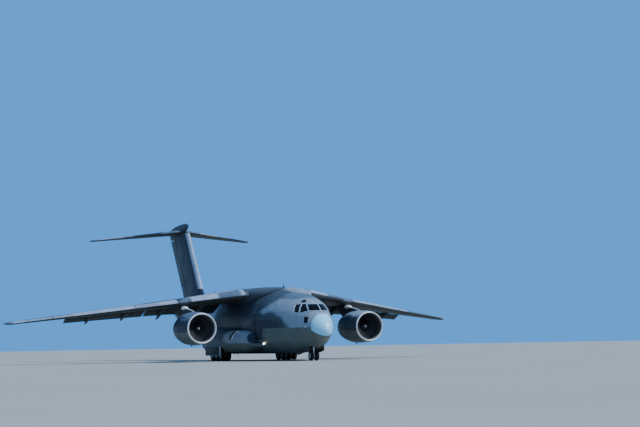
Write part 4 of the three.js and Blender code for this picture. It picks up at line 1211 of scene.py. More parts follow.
# Engines, about the middle of the intake ring
ENGINE = {"x": 3.985, "station": 4.545, "z": 1.47}
COWL_OUTER = (
    (0.632, 0.0), (0.655, 0.025), (0.69, 0.2), (0.722, 0.6), (0.735, 1.1), (0.715, 1.6), (0.64, 2.1),
    (0.56, 2.43))
COWL_INNER = ((0.548, 2.43), (0.575, 2.0), (0.6, 1.5), (0.602, 0.5), (0.585, 0.25), (0.6, 0.06), (0.632, 0.0))
CORE = ((0.0, 0.9), (0.33, 0.9), (0.4, 1.4), (0.4, 2.2), (0.36, 2.5), (0.29, 3.02), (0.275, 3.02))
PLUG = ((0.27, 2.9), (0.24, 3.025), (0.15, 3.15), (0.03, 3.38), (0.0, 3.38))
FAN_BLADES = 38
SPINNER = (
    (0.0, 0.47), (0.03, 0.473), (0.07, 0.487), (0.11, 0.515), (0.15, 0.555), (0.18, 0.6), (0.2, 0.66),
    (0.205, 0.8), (0.205, 0.895), (0.0, 0.895))
SPINNER_TIP = ((0.0, 0.462), (0.02, 0.464), (0.036, 0.47), (0.044, 0.48), (0.0, 0.49))
BLADE_SECTION = ((-1, 0), (-0.4, 0.006), (0.3, 0.007), (1, 0), (0.3, -0.003), (-0.4, -0.003))
BLADE_ROOT = 0.19
BLADE_TIP = 0.586
# A strake's outline as distance from the intake and height over the cowl
STRAKE = ((0.55, 0.0), (0.78, 0.09), (1.05, 0.12), (1.32, 0.1), (1.36, 0.0))


def smooth_profile(profile, step=0.05):
    """A (radius, distance) profile with more points on smooth curves between the given ones."""
    lengths = [0.0]
    for a, b in zip(profile, profile[1:]):
        lengths.append(lengths[-1] + math.dist(a, b))
    table = [(length, *pair) for length, pair in zip(lengths, profile)]
    return [tuple(smooth_row(table, place)[1:]) for place in stations(0.0, lengths[-1], step)]


LIP = ((0.655, 0.025), (0.647, 0.009), (0.632, 0.0), (0.616, 0.01), (0.606, 0.03), (0.6, 0.06))
LIP_JOINT = 0.075


def engine(name, side):
    middle = (side * ENGINE["x"], ENGINE["station"], ENGINE["z"])
    shell = [pair for pair in smooth_profile(COWL_OUTER[1:]) if pair[1] > LIP_JOINT]
    bore = [pair for pair in smooth_profile(COWL_INNER[:-1]) if pair[1] > 0.11]
    profile = [(0.668, LIP_JOINT)] + shell + bore + [(0.592, 0.11), (0.63, 0.09)]
    cowl = make_object(
        f"engine_cowl_skin_{name}", [(turned(profile, middle, count=96, closed=True), "nacelle")])
    cowl.data.materials.append(FINISHES["liner"])
    for polygon in cowl.data.polygons:
        from_middle = Vector((polygon.center.x - middle[0], 0, polygon.center.z - middle[2]))
        if from_middle.length < 0.61 and polygon.normal.dot(from_middle) < 0:
            polygon.material_index = 1
    dress(cowl, replaces=(f"engine_cowl_{name}",))
    ring = [(0.668, LIP_JOINT), *LIP, (0.592, 0.11), (0.6, 0.1), (0.66, 0.08)]
    piece(f"intake_lip_{name}", [(turned(ring, middle, count=96, closed=True), "lip")])
    core = [(turned(CORE + ((0.27, 2.6), (0.0, 2.6)), middle, count=64), "nickel"),
            (turned(PLUG, middle, count=48), "nickel")]
    piece(f"engine_core_skin_{name}", core, replaces=(f"engine_core_{name}",))
    vanes = []
    for i in range(24):
        turn = Matrix.Translation(middle) @ Matrix.Rotation(2 * math.pi * i / 24, 4, "Y")
        vanes.append((placed(block((-0.006, 0.006), (1.15, 1.4), (0.39, 0.6)), turn), "liner"))
    piece(f"outlet_vanes_{name}", vanes)
    cowl_details(name, middle)
    fan(name, middle)
    pylon(name, side)


def cowl_radius(along):
    return smooth_row([(y, r) for r, y in COWL_OUTER], along)[1]


def cowl_details(name, middle):
    """Cowl joints, latches, a vortex strake on each flank and the drain mast."""
    shift = Matrix.Translation(middle)
    parts = []
    for along in (0.42, 1.15, 1.82):
        low, high = cowl_radius(along) - 0.004, cowl_radius(along) + 0.002
        ring = [(low, along - 0.006), (high, along - 0.005), (high, along + 0.005), (low, along + 0.006)]
        parts.append((turned(ring, middle, count=96, closed=True), "seal"))
    outline = [(along, cowl_radius(along) - 0.01 + (out or -0.01)) for along, out in STRAKE]
    for flank in (-1, 1):
        turn = shift @ Matrix.Rotation(flank * math.radians(48), 4, "Y")
        parts.append((placed(prism(outline, -0.006, 0.006, "x"), turn), "nacelle"))
    for i in range(5):
        along = 0.5 + i * 0.27
        low = -cowl_radius(along)
        latch = block((-0.02, 0.02), (along, along + 0.07), (low - 0.004, low + 0.01))
        parts.append((placed(latch, shift), "titanium"))
    low = -cowl_radius(1.5)
    mast = [(1.44, low + 0.02), (1.54, low + 0.02), (1.6, low - 0.09), (1.55, low - 0.09)]
    parts.append((placed(prism(mast, -0.008, 0.008, "x"), shift), "nacelle"))
    piece(f"cowl_details_{name}", parts)


def fan_blade():
    """One wide twisted blade that stands up from the fan's axis."""
    rings = []
    for k in range(8):
        radius = BLADE_ROOT + (BLADE_TIP - BLADE_ROOT) * k / 7
        twist = 0.35 + 0.75 * k / 7
        wide = 0.085 + 0.025 * math.sin(math.pi * k / 7)
        sine, cosine = math.sin(twist), math.cos(twist)
        pairs = [(along * wide, off * (1.2 - k / 12)) for along, off in BLADE_SECTION]
        rings.append([(u * sine + v * cosine, 0.7 + u * cosine - v * sine, radius) for u, v in pairs])
    return loft(rings)


def fan(name, middle):
    """A spinner and its blades, on the fan's own body."""
    # The pale cap on the spinner's tip is a painted highlight
    parts = [(turned(SPINNER, middle, count=48), "spinner"), (turned(SPINNER_TIP, middle, count=32), "frame")]
    for i in range(FAN_BLADES):
        turn = Matrix.Translation(middle) @ Matrix.Rotation(2 * math.pi * i / FAN_BLADES, 4, "Y")
        parts.append((placed(fan_blade(), turn), "titanium"))
    piece(f"fan_blades_{name}", parts, f"fan_{name}", (f"engine_fan_{name}",))


PYLON = (
    (5.245, 2.13), (6.045, 2.29), (7.0, 2.42), (7.4, 2.64), (8.7, 2.64), (8.3, 2.33), (7.5, 1.96),
    (7.35, 1.82), (6.4, 1.82), (5.7, 2.0))


def pylon(name, side):
    """The pylon in the painted-shade grey, and the ridge along its top and the rounded fairing where it meets
    the wing in near-white polished aluminium as a painted highlight.
    """
    x = side * ENGINE["x"]
    plate = make_object(f"pylon_skin_{name}", [(prism(PYLON, x - 0.095, x + 0.095, "x"), "under")])
    bevel(plate, 0.045, 4, 60)
    dress(plate, replaces=(f"pylon_{name}",))
    # The near-white ridge and fairing are a painted highlight where the sun catches the pylon's top
    ridge = tube([(x, 5.27, 2.12), (x, 6.045, 2.275), (x, 7.0, 2.405)], [0.02, 0.035, 0.04], 16)
    rings = []
    for i in range(17):
        turn = math.pi * i / 16
        swell = math.sin(turn) ** 0.8
        along = 6.96 - 0.3 * math.cos(turn)
        height = 2.4 + 0.1 * (along - 6.96)
        rings.append(oval(x, along, height, 0.14 * swell + 0.002, 0.095 * swell + 0.002, 24))
    piece(f"pylon_painted_highlight_{name}", [(ridge, "lip"), (loft(rings), "lip")])


# Sponsons: station, outer x, top, bottom
SPONSON = (
    (5.0, 1.48, 1.13, 0.64),
    (5.25, 1.69, 1.27, 0.5),
    (5.75, 1.85, 1.38, 0.41),
    (6.8, 1.95, 1.47, 0.375),
    (10.0, 1.95, 1.5, 0.375),
    (10.9, 1.85, 1.48, 0.43),
    (11.5, 1.66, 1.4, 0.6),
    (11.75, 1.5, 1.25, 0.76),
)
SPONSON_INNER = 0.7
BAY = {"front": 7.95, "rear": 9.95, "inner": 1.33, "roof": 0.725}


def sponson_ring(station, side):
    _, outer, top, bottom = smooth_row(SPONSON, station)
    middle, half = (outer + SPONSON_INNER) / 2, (outer - SPONSON_INNER) / 2
    return oval(side * middle, station, (top + bottom) / 2, side * half, (top - bottom) / 2, 64, (0.6, 0.7))


def sponson(name, side):
    rings = [sponson_ring(place, side) for place in stations(5.0, 11.75, 0.1)]
    thing = make_object(f"sponson_skin_{name}", [(loft(rings), "sponson")])
    thing.data.materials.append(FINISHES["primer"])
    bay = side_block((BAY["inner"], 3.0), (BAY["front"], BAY["rear"]), (-0.01, BAY["roof"]), side)
    inside = loft([body_ring(place, -0.02) for place in stations(4.5, 12.3, 0.3)])
    carve(thing, [inside, bay], inside=1)
    dress(thing, replaces=(f"sponson_{name}",))
    ends = (BAY["front"] + 0.01, BAY["rear"] - 0.01)
    door = side_block((1.99, 2.025), ends, (0.25, 0.715), side)
    lip = side_block((1.9, 2.02), ends, (0.69, 0.7247), side)
    leaf = make_object(f"main_gear_door_skin_{name}", [(door, "under"), (lip, "under")])
    bevel(leaf, 0.006)
    dress(leaf, replaces=(f"main_gear_door_{name}",))
    sponson_details(name, side)


# The thin fairing ahead of each sponson: station, inner x, outer x, middle height, half height
CHINE = (
    (3.9, 1.03, 1.11, 0.66, 0.015),
    (4.4, 1.1, 1.28, 0.7, 0.075),
    (5.0, 1.15, 1.5, 0.7, 0.11),
    (5.6, 1.2, 1.74, 0.68, 0.13),
    (6.3, 1.3, 1.9, 0.66, 0.12),
)


def chine_ring(place, side):
    _, inner, outer, height, half = smooth_row(CHINE, place)
    return oval(side * (inner + outer) / 2, place, height, side * (outer - inner) / 2, half, 28)


# The opening of the air inlet, a near-black plate on the skin as painted shade inside it, and its pale front
# edge as a painted highlight, as (station, height) pairs
INLET = ((6.22, 1.36), (6.42, 1.36), (6.86, 0.98), (6.6, 0.98))
INLET_LIP = ((6.12, 1.36), (6.21, 1.36), (6.59, 0.98), (6.48, 0.98))


def sponson_details(name, side):
    """The thin fairing ahead with its lit landing lamp, and the air inlet with its lip."""
    chine = loft([chine_ring(place, side) for place in stations(3.9, 6.3, 0.1)])
    piece(f"sponson_chine_{name}", [(chine, "sponson")])
    spot = (side * 1.235, 4.3, 0.76)
    lamp = [(0.0, -0.02), (0.035, -0.016), (0.055, 0.0), (0.055, 0.03), (0.0, 0.03)]
    rim = [(0.056, -0.004), (0.066, -0.004), (0.066, 0.04), (0.056, 0.04)]
    parts = [(turned(lamp, spot, count=28), "lamp"), (turned(rim, spot, count=28, closed=True), "lip")]
    piece(f"landing_lamp_{name}", parts)
    rings = [sponson_ring(place, side) for place in stations(6.0, 7.6, 0.1)]
    outer, inner = ([swollen(ring, by, side) for ring in rings] for by in (0.012, -0.02))
    shell = hollow_loft(outer, inner)
    # The near-black inlet plate is painted shade of the opening, and the near-white lip a painted highlight
    for label, outline, corner, finish in (
            ("air_inlet", INLET, 0.04, "seal"), ("air_inlet_lip", INLET_LIP, 0.03, "lip")):
        thing = make_object(f"{label}_{name}", [(shell, finish)])
        carve(thing, [side_prism(rounded(outline, corner), side, 1.5)], "INTERSECT")
        dress(thing)


def swollen(ring, by, side):
    """A sponson ring moved outward by a distance, sideways and up."""
    low, high = min(p[2] for p in ring), max(p[2] for p in ring)
    middle = (low + high) / 2
    return [(x + side * by, y, z + by * (z - middle) / (high - middle)) for x, y, z in ring]


# Landing gear
MAIN = {"x": 1.625, "station": 8.935, "pitch": 0.6, "radius": 0.275}
NOSE_GEAR = {"station": 1.61, "radius": 0.22}
FLAT = math.cos(math.pi / 20)
TREAD_GROOVES = (-0.5, -0.17, 0.17, 0.5)
# Half a wheel's section as shares of the tyre's radius and half width
RIM = (
    (0.57, -0.9), (0.54, -0.97), (0.5, -0.8), (0.44, -0.45), (0.3, -0.38), (0.2, -0.5), (0.17, -0.72),
    (0.0, -0.74))
WHEEL_BOLT = ((0, 0), (0.009, 0.001), (0.009, 0.016), (0, 0.018))
MAIN_CYLINDER = (
    (0.0, 0.41), (0.046, 0.41), (0.05, 0.42), (0.05, 0.555), (0.066, 0.565), (0.066, 0.6), (0.06, 0.61),
    (0.06, 0.66), (0.0, 0.66))
MAIN_EYE = ((0.0435, -0.05), (0.066, -0.05), (0.072, -0.044), (0.072, 0.044), (0.066, 0.05), (0.0435, 0.05))
NOSE_EYE = (
    (0.0355, -0.044), (0.058, -0.044), (0.064, -0.038), (0.064, 0.038), (0.058, 0.044), (0.0355, 0.044))
NOSE_COLLAR = ((0.0, 0.54), (0.054, 0.54), (0.058, 0.546), (0.058, 0.594), (0.054, 0.6), (0.0, 0.6))
TAXI_LAMP = ((0, 0.09), (0.03, 0.085), (0.052, 0.03), (0.055, 0.0), (0.05, 0.0), (0, 0.02))
TAXI_LENS = ((0, -0.008), (0.03, -0.004), (0.049, 0.004), (0.049, 0.012), (0, 0.012))


def tyre_profile(radius, half):
    """The tyre's section as (radius, across), with its tread grooves."""
    bead, crown = radius * 0.56, radius * FLAT
    places = sorted({round(-half + half * i / 10, 5) for i in range(21)}
                    | {round(half * (g + d), 5) for g in TREAD_GROOVES for d in (-0.06, -0.04, 0.04, 0.06)})
    profile = []
    for across in places:
        share = min(1.0, abs(across) / half)
        r = bead + (crown - bead) * max(0.0, 1 - share ** 3.4) ** (1 / 2.6)
        if any(abs(across / half - g) < 0.05 for g in TREAD_GROOVES):
            r -= 0.006
        profile.append((r, across))
    return profile


def wheel_pair(name, node, body, middle, radius, width, tyre_width):
    """Twin tyres, their wheels with bolts, the brakes and the live axle."""
    half, inner = width / 2, width / 2 - tyre_width
    w = tyre_width / 2
    parts = []
    for sign in (-1, 1):
        centre = Vector(middle) + Vector((sign * (half - w), 0, 0))
        ring = [(radius * 0.5, -w * 0.8), *tyre_profile(radius, w), (radius * 0.5, w * 0.8)]
        parts.append((turned(ring, centre, "x", 60, True), "tyre"))
        rim = [(radius * r, w * a) for r, a in RIM]
        parts.append((turned(rim + [(r, -a) for r, a in reversed(rim)], centre, "x", 48), "hub"))
        for i in range(8):
            turn = 2 * math.pi * i / 8
            spot = centre + Vector((0, math.cos(turn), math.sin(turn))) * radius * 0.36
            parts.append((turned(WHEEL_BOLT, spot + Vector((sign * w * 0.4, 0, 0)), "x", 6), "titanium"))
        stack = [(radius * 0.2, 0.0), (radius * 0.42, 0.0), (radius * 0.42, w * 0.5), (radius * 0.2, w * 0.5)]
        parts.append((turned([(r, -sign * (w * 0.4 + a)) for r, a in stack], centre, "x", 32, True), "brake"))
    reach = Vector((inner + 0.02, 0, 0))
    parts.append((tube([Vector(middle) - reach, Vector(middle) + reach], radius * 0.15, 20), "chrome"))
    piece(name, parts, body, replaces=(node,))


def torque_links(x, y, top, apex, foot, wide):
    """The two scissor arms between a cylinder and its piston, given as (aft, up)."""
    parts = []
    for a, b in ((top, apex), (apex, foot)):
        along = Vector((b[0] - a[0], b[1] - a[1])).normalized()
        side = Vector((-along.y, along.x)) * 0.014
        outline = [(y + a[0] + side.x, a[1] + side.y), (y + b[0] + side.x, b[1] + side.y),
                   (y + b[0] - side.x, b[1] - side.y), (y + a[0] - side.x, a[1] - side.y)]
        parts.append((prism(outline, x - wide, x + wide, "x"), "gear"))
    pin = [(x - wide - 0.006, y + apex[0], apex[1]), (x + wide + 0.006, y + apex[0], apex[1])]
    parts.append((tube(pin, 0.014, 14), "chrome"))
    return parts


def main_leg(name, side):
    """The beam over three axles, each with its cylinder, piston, scissors, eye and brake hose."""
    x = side * MAIN["x"]
    axle = MAIN["radius"] * FLAT
    front, rear = BAY["front"] + 0.06, BAY["rear"] - 0.06
    parts = [(block((x - 0.085, x + 0.085), (front, rear), (0.7, BAY["roof"] - 0.0005)), "gear"),
             (block((x - 0.03, x + 0.03), (front, rear), (0.655, 0.705)), "gear"),
             (block((x - 0.075, x + 0.075), (front, rear), (0.64, 0.66)), "gear")]
    parts += [(block((x - 0.08, x + 0.08), (y - 0.006, y + 0.006), (0.645, 0.71)), "gear")
              for y in stations(front + 0.08, rear - 0.08, 0.2)]
    for step in (-1, 0, 1):
        y = MAIN["station"] + step * MAIN["pitch"]
        parts.append((turned(MAIN_CYLINDER, (x, y, 0), "z", 32), "gear"))
        parts.append((tube([(x, y, axle + 0.04), (x, y, 0.42)], 0.038, 28), "chrome"))
        parts.append((turned(MAIN_EYE, (x, y, axle), "x", 36, True), "gear"))
        parts += torque_links(x, y, (0.045, 0.53), (0.16, 0.43), (0.05, 0.31), 0.02)
        hose = [(x + 0.03, y - 0.05, 0.62), (x + 0.045, y - 0.085, 0.52), (x + 0.04, y - 0.08, 0.4),
                (x + 0.03, y - 0.07, axle + 0.03)]
        parts.append((tube(smooth_path(hose), 0.006, 10), "black"))
    thing = make_object(f"main_gear_fine_{name}", parts)
    dress(thing, replaces=(f"main_gear_{name}",))


def smooth_path(points, count=5):
    """More points on a smooth curve through the given ones."""
    places = [Vector(p) for p in points]
    path = []
    for i in range(len(places) - 1):
        before, after = places[max(i - 1, 0)], places[min(i + 2, len(places) - 1)]
        a, b = places[i], places[i + 1]
        for k in range(count):
            t = k / count
            path.append(a * (2 * t ** 3 - 3 * t ** 2 + 1) + b * (3 * t ** 2 - 2 * t ** 3)
                        + (b - before) / 2 * (t ** 3 - 2 * t ** 2 + t) + (after - a) / 2 * (t ** 3 - t ** 2))
    return path + [places[-1]]


def nose_leg():
    """The fixed cylinder with its drag strut, steering jacks and taxi lamps, and the steered fork below."""
    y, axle, roof = NOSE_GEAR["station"], NOSE_GEAR["radius"] * FLAT, 1.4497
    cylinder = [
        (0.0, 0.62), (0.07, 0.62), (0.075, 0.63), (0.075, 0.7), (0.062, 0.715), (0.062, 1.05),
        (0.072, 1.06), (0.072, 1.12), (0.062, 1.13), (0.062, roof), (0.0, roof)]
    parts = [(turned(cylinder, (0, y, 0), "z", 40), "gear"),
             (tube([(0, y, 0.76), (0, y + 0.37, 1.07), (0, 2.35, 1.38)], [0.034, 0.026, 0.034], 20), "gear"),
             (tube([(-0.07, y + 0.37, 1.07), (0.07, y + 0.37, 1.07)], 0.034, 20), "gear"),
             (block((-0.06, 0.06), (2.28, 2.42), (1.34, roof)), "gear"),
             (tube([(-0.16, y, 1.3), (0.16, y, 1.3)], 0.04, 24), "gear")]
    for sign in (-1, 1):
        jack = sign * 0.095
        parts.append((tube([(jack, y - 0.02, 0.66), (jack, y + 0.12, 0.66)], 0.022, 18), "gear"))
        parts.append((tube([(jack, y - 0.1, 0.66), (jack, y, 0.66)], 0.012, 14), "chrome"))
        parts.append((block(sorted((0, sign * 0.1)), (y - 0.02, y + 0.02), (0.645, 0.675)), "gear"))
        spot = (sign * 0.13, y - 0.1, 0.84)
        parts.append((turned(TAXI_LAMP, spot, count=28), "gear"))
        parts.append((turned(TAXI_LENS, spot, count=28), "lens"))
        arm = sorted((sign * 0.05, sign * 0.13))
        parts.append((block(arm, (y - 0.06, y - 0.02), (0.83, 0.85)), "gear"))
    hose = [(0.05, y + 0.05, 1.35), (0.085, y + 0.06, 1.1), (0.085, y + 0.07, 0.85), (0.07, y + 0.06, 0.68)]
    parts.append((tube(smooth_path(hose), 0.007, 10), "black"))
    piece("nose_gear_leg_fine", parts, replaces=("nose_gear_leg",))
    fork = [(tube([(0, y, axle + 0.03), (0, y, 0.6193)], 0.039, 32), "chrome"),
            (turned(NOSE_COLLAR, (0, y, 0), "z", 36), "gear"),
            (turned(NOSE_EYE, (0, y, axle), "x", 36, True), "gear")]
    fork += torque_links(0, y, (0.045, 0.572), (0.14, 0.43), (0.04, 0.3), 0.018)
    tow = [(y - 0.075, axle + 0.02), (y - 0.075, axle - 0.02),
           (y - 0.03, axle - 0.04), (y - 0.03, axle + 0.04)]
    fork.append((prism(tow, -0.03, 0.03, "x"), "gear"))
    piece("nose_gear_fork_fine", fork, "nose_fork", ("nose_gear_fork",))


# The nose gear doors from the side, as (station, height) pairs
NOSE_DOOR = ((1.3, 0.64), (2.54, 0.5), (2.54, 0.245), (1.3, 0.42))
# The curl of a main gear door's front edge, as (across, height) pairs: white paint, widened as a painted
# highlight of the sunlit edge
DOOR_HOOK = (
    (2.036, 0.27), (2.036, 0.6), (2.02, 0.68), (1.97, 0.728), (1.87, 0.742), (1.87, 0.69), (1.93, 0.68),
    (1.955, 0.65), (1.966, 0.6), (1.966, 0.27))


def nose_gear_door(name, side):
    """A door leaf cut to the body's curve, and its ribs, lugs and link."""
    edge = WELL["half"]
    shape = prism(rounded(NOSE_DOOR, 0.04), edge + 0.004, edge + 0.03, "x")
    leaf = make_object(f"nose_gear_door_skin_{name}", [(on_side(shape, side), "belly")])
    carve(leaf, [loft([body_ring(place, 0.003) for place in stations(1.0, 2.8, 0.1)])])
    bevel(leaf, 0.005)
    dress(leaf, replaces=(f"nose_gear_door_{name}",))
    parts = []
    for i in range(5):
        y = 1.42 + i * 0.26
        low, high = 0.46 - (y - 1.3) * 0.13, 0.62 - (y - 1.3) * 0.15
        rib = side_block((edge - 0.012, edge + 0.006), (y - 0.012, y + 0.012), (low, high), side)
        lug = side_block((edge - 0.03, edge + 0.006), (y - 0.02, y + 0.02), (high - 0.012, high + 0.06), side)
        parts += [(rib, "primer"), (lug, "gear")]
    link = tube([(0.06, 1.63, 0.72), (edge - 0.01, 1.68, 0.52)], 0.011, 12)
    parts.append((on_side(link, side), "gear"))
    piece(f"nose_gear_door_ribs_{name}", parts)


def nose_bay_lining():
    """The walls of the nose gear's bay with their ribs."""
    edge, low, front, rear, roof = WELL["half"], 0.66, WELL["front"], WELL["rear"], 1.447
    walls = [
        block((-edge, edge), (front, front + 0.006), (low, roof)),
        block((-edge, edge), (rear - 0.006, rear), (0.45, roof)),
        block((-edge, -edge + 0.006), (front, rear), (low, roof)),
        block((edge - 0.006, edge), (front, rear), (low, roof))]
    for y in stations(front + 0.15, rear - 0.15, 0.2):
        for middle in (-0.94 * edge, 0.94 * edge):
            walls.append(block((middle - 0.02, middle + 0.02), (y - 0.008, y + 0.008), (low, roof)))
    piece("nose_bay_lining", [(wall, "primer") for wall in walls])


def main_bay(name, side):
    """A main bay's ribs, pipes and door stays, and the curled edge and the rim of its door."""
    x, front, rear = BAY["inner"], BAY["front"], BAY["rear"]
    parts = [(side_block((x + 0.12, 1.9), (y - 0.01, y + 0.01), (0.67, 0.73), side), "primer")
             for y in stations(front + 0.1, rear - 0.1, 0.22)]
    for across in (1.45, 1.48, 1.51):
        pipe = tube([(across, front + 0.02, 0.69), (across, rear - 0.02, 0.69)], 0.007, 10)
        parts.append((on_side(pipe, side), "chrome"))
    for y in (front + 0.25, rear - 0.25):
        parts.append((on_side(tube([(1.86, y, 0.7), (1.992, y, 0.46)], 0.014, 14), side), "gear"))
    for y in stations(front + 0.15, rear - 0.15, 0.28):
        parts.append((side_block((1.978, 1.992), (y - 0.012, y + 0.012), (0.28, 0.69), side), "gear"))
    piece(f"main_bay_fittings_{name}", parts)
    points, faces = prism(DOOR_HOOK, front - 0.012, front + 0.016, "x")
    curl = on_side(([(b, a, c) for a, b, c in points], faces), side)
    # White, and partly a painted highlight of the edge where the sun catches it
    piece(f"main_gear_door_edge_{name}", [(curl, "white")])
    rim = [(front + 0.01, 0.25), (rear - 0.01, 0.25), (rear - 0.01, 0.715), (front + 0.01, 0.715)]
    border = make_object(f"main_gear_door_rim_{name}", [(side_prism(rim, side, 1.986, 2.029), "frame")])
    carve(border, [side_prism(grown(rim, -0.022), side, 1.9, 2.1)])
    dress(border)


def gear_doors():
    for name, side in SIDES:
        nose_gear_door(name, side)
    nose_bay_lining()
    for name, side in SIDES:
        main_bay(name, side)


def landing_gear():
    for name, side in SIDES:
        main_leg(name, side)
        for place, step in (("front", -1), ("middle", 0), ("rear", 1)):
            middle = (side * MAIN["x"], MAIN["station"] + step * MAIN["pitch"], MAIN["radius"] * FLAT)
            node = f"main_wheels_{name}_{place}"
            wheel_pair(f"{node}_fine", node, f"wheels_{name}_{place}", middle, MAIN["radius"], 0.475, 0.18)
    nose_leg()
    middle = (0, NOSE_GEAR["station"], NOSE_GEAR["radius"] * FLAT)
    wheel_pair("nose_wheels_fine", "nose_wheels", "nose_wheels", middle, NOSE_GEAR["radius"], 0.39, 0.14)
    gear_doors()


# Fuselage sections and doors
RAMP_HINGE = 12.4
AFT_END = 18.525
CREW_DOOR = {"front": 3.465, "rear": 3.865, "sill": 0.65, "head": 1.62}
JUMP_DOOR = {"front": 12.7, "rear": 13.15, "sill": 0.76, "head": 1.7}
RAMP_END = 15.4
AFT_DOOR_END = 18.2
FLOOR_TOP = 0.625
CREW_HINGE = {
    "x": 1.01, "z": 0.646, "radius": 0.014, "recess": 0.028, "front": 3.505, "rear": 3.825,
    "straps": (3.535, 3.765)}


def door_outline(door, grow=0.0):
    return [(door["front"] - grow, door["sill"] - grow), (door["rear"] + grow, door["sill"] - grow),
            (door["rear"] + grow, door["head"] + grow), (door["front"] - grow, door["head"] + grow)]


def door_plan(front, rear, half_front, half_rear, shrink):
    return [(-half_front + shrink, front + shrink), (half_front - shrink, front + shrink),
            (half_rear - shrink, rear - shrink), (-half_rear + shrink, rear - shrink)]


def round_outline(station, height, along, up, count=20):
    """An oval of (station, height) pairs."""
    turns = [2 * math.pi * i / count for i in range(count)]
    return [(station + along * math.cos(turn), height + up * math.sin(turn)) for turn in turns]


def skin_door(name, first, last, tool, body, node):
    """A door cut from the fuselage skin itself."""
    thing = make_object(name, [(body_shell(first, last, 0.08), "body")])
    line_inside(thing)
    carve(thing, [tool], "INTERSECT", 1)
    dress(thing, body, replaces=(node,))


def fuselage():
    radome()
    nose_section()
    crew = side_prism(door_outline(CREW_DOOR), 1, 0.6, 2.2)
    cutters = [crew, hinge_bar(CREW_HINGE["recess"])]
    fuselage_section("forward_skin", NOSE_END, 5.3, "forward_fuselage", cutters)
    crew_door()
    notch = block((-3, 3), (5.301, 10.2), (2.65, 4))
    fuselage_section("centre_skin", 5.3, RAMP_HINGE, "centre_fuselage", [notch])
    ramp_hole = prism(door_plan(RAMP_HINGE - 0.05, RAMP_END, 0.98, 0.98, 0), -1, 1.6, "z")
    aft_hole = prism(door_plan(RAMP_END - 0.001, AFT_DOOR_END, 0.95, 0.62, 0), -1, 2.4, "z")
    jumps = [side_prism(door_outline(JUMP_DOOR), side, 1.0, 2.2) for _, side in SIDES]
    fuselage_section("aft_skin", RAMP_HINGE, AFT_END, "aft_fuselage", [ramp_hole, aft_hole] + jumps)
    for name, side in SIDES:
        cutter = side_prism(door_outline(JUMP_DOOR, -0.002), side, 1.0, 2.2)
        skin_door(f"jump_door_skin_{name}", 12.6, 13.25, cutter, "airframe", f"jump_door_{name}")
        port = round_outline((JUMP_DOOR["front"] + JUMP_DOOR["rear"]) / 2, 1.42, 0.075, 0.095)
        # A near-black glass plate on the skin: painted shade of the dark inside behind the window
        skin_mark(f"jump_door_window_{name}", (12.8, 13.05), port, side, "glass")
    cone = loft([body_ring(place) for place in stations(AFT_END + 0.002, BODY[-1][0], 0.08)])
    piece("tail_cone_skin", [(cone, "body")], replaces=("tail_cone",))
    whole = loft([body_ring(place) for place in stations(RAMP_HINGE + 0.0004, AFT_END, 0.1)])
    loading_ramp(whole)
    cargo_door(whole)
    hold()
    flight_deck()
    skin_fittings()


def skin_mark(name, span, outline, side, finish, body="airframe"):
    """A thin plate on the fuselage skin, cut to an outline of (station, height) pairs."""
    plate = make_object(name, [(body_shell(*span, 0.05, 0.012, 0.003), finish)])
    carve(plate, [side_prism(outline, side)], "INTERSECT")
    dress(plate, body)


def hinge_bar(radius):
    """The crew door's hinge bar, and with a larger radius the recess cut for it, which is longer as well."""
    x, z, past = CREW_HINGE["x"], CREW_HINGE["z"], 3 * (radius - CREW_HINGE["radius"])
    return tube([(x, CREW_HINGE["front"] - past, z), (x, CREW_HINGE["rear"] + past, z)], radius, 24)


def crew_door():
    """The crew door with its hinge bar, straps, folded steps, handrails, handle and window."""
    cutter = side_prism(door_outline(CREW_DOOR, -DOOR_GAP), 1, 0.6, 2.2)
    skin_door("crew_door_skin", 3.3, 4.0, cutter, "crew_door", "crew_door")
    x, z = CREW_HINGE["x"], CREW_HINGE["z"]
    parts = [(hinge_bar(CREW_HINGE["radius"]), "gear")]
    for y in CREW_HINGE["straps"]:
        parts.append((block((x - 0.06, x + 0.008), (y, y + 0.03), (0.652, z + 0.046)), "gear"))
    front, rear = CREW_DOOR["front"] + 0.05, CREW_DOOR["rear"] - 0.05
    for height in stations(0.78, 1.5, 0.12):
        inner = skin_half(3.665, height) - WALL
        step = block((inner - 0.028, inner + 0.015), (front, rear), (height - 0.012, height + 0.012))
        parts.append((step, "deck"))
        across, up = (inner - 0.03, inner + 0.015), (height - 0.016, height + 0.016)
        parts += [(block(across, (y - 0.004, y + 0.004), up), "black") for y in stations(front, rear, 0.075)]
    for y in (front - 0.022, rear + 0.022):
        path = [(skin_half(y, height) - WALL + 0.01 - lift, y, height)
                for height, lift in ((0.8, 0.0), (0.84, 0.05), (1.1, 0.055), (1.36, 0.05), (1.4, 0.0))]
        parts.append((tube(smooth_path(path), 0.007, 12), "frame"))
    piece("crew_door_fittings", parts, "crew_door")
    port = round_outline(3.665, 1.42, 0.05, 0.06)
    # A near-black glass plate on the skin: painted shade of the dark inside behind the window
    skin_mark("crew_door_window", (3.5, 3.85), port, 1, "glass", "crew_door")
    handle = rounded([(3.6, 1.02), (3.73, 1.02), (3.73, 1.06), (3.6, 1.06)], 0.012)
    skin_mark("crew_door_handle", (3.5, 3.85), handle, 1, "titanium", "crew_door")


def skin_half(station, height):
    """Half the width of the fuselage at a station and a height."""
    _, half, top, bottom, middle, power = smooth_row(BODY, station)
    reach = (top - middle) if height >= middle else (middle - bottom)
    share = min(1.0, abs(height - middle) / reach)
    power = 2 if height >= middle else power
    return half * (1 - share ** power) ** (1 / power)


SEAM_LEAN = 0.5
RAMP_REAR_TOP = 1.33
RAMP_PIN = {"station": 12.405, "height": 0.592, "radius": 0.025, "half": 0.88}
AFT_PIN = {"station": 18.1797, "height": 2.052, "radius": 0.02, "half": 0.48}


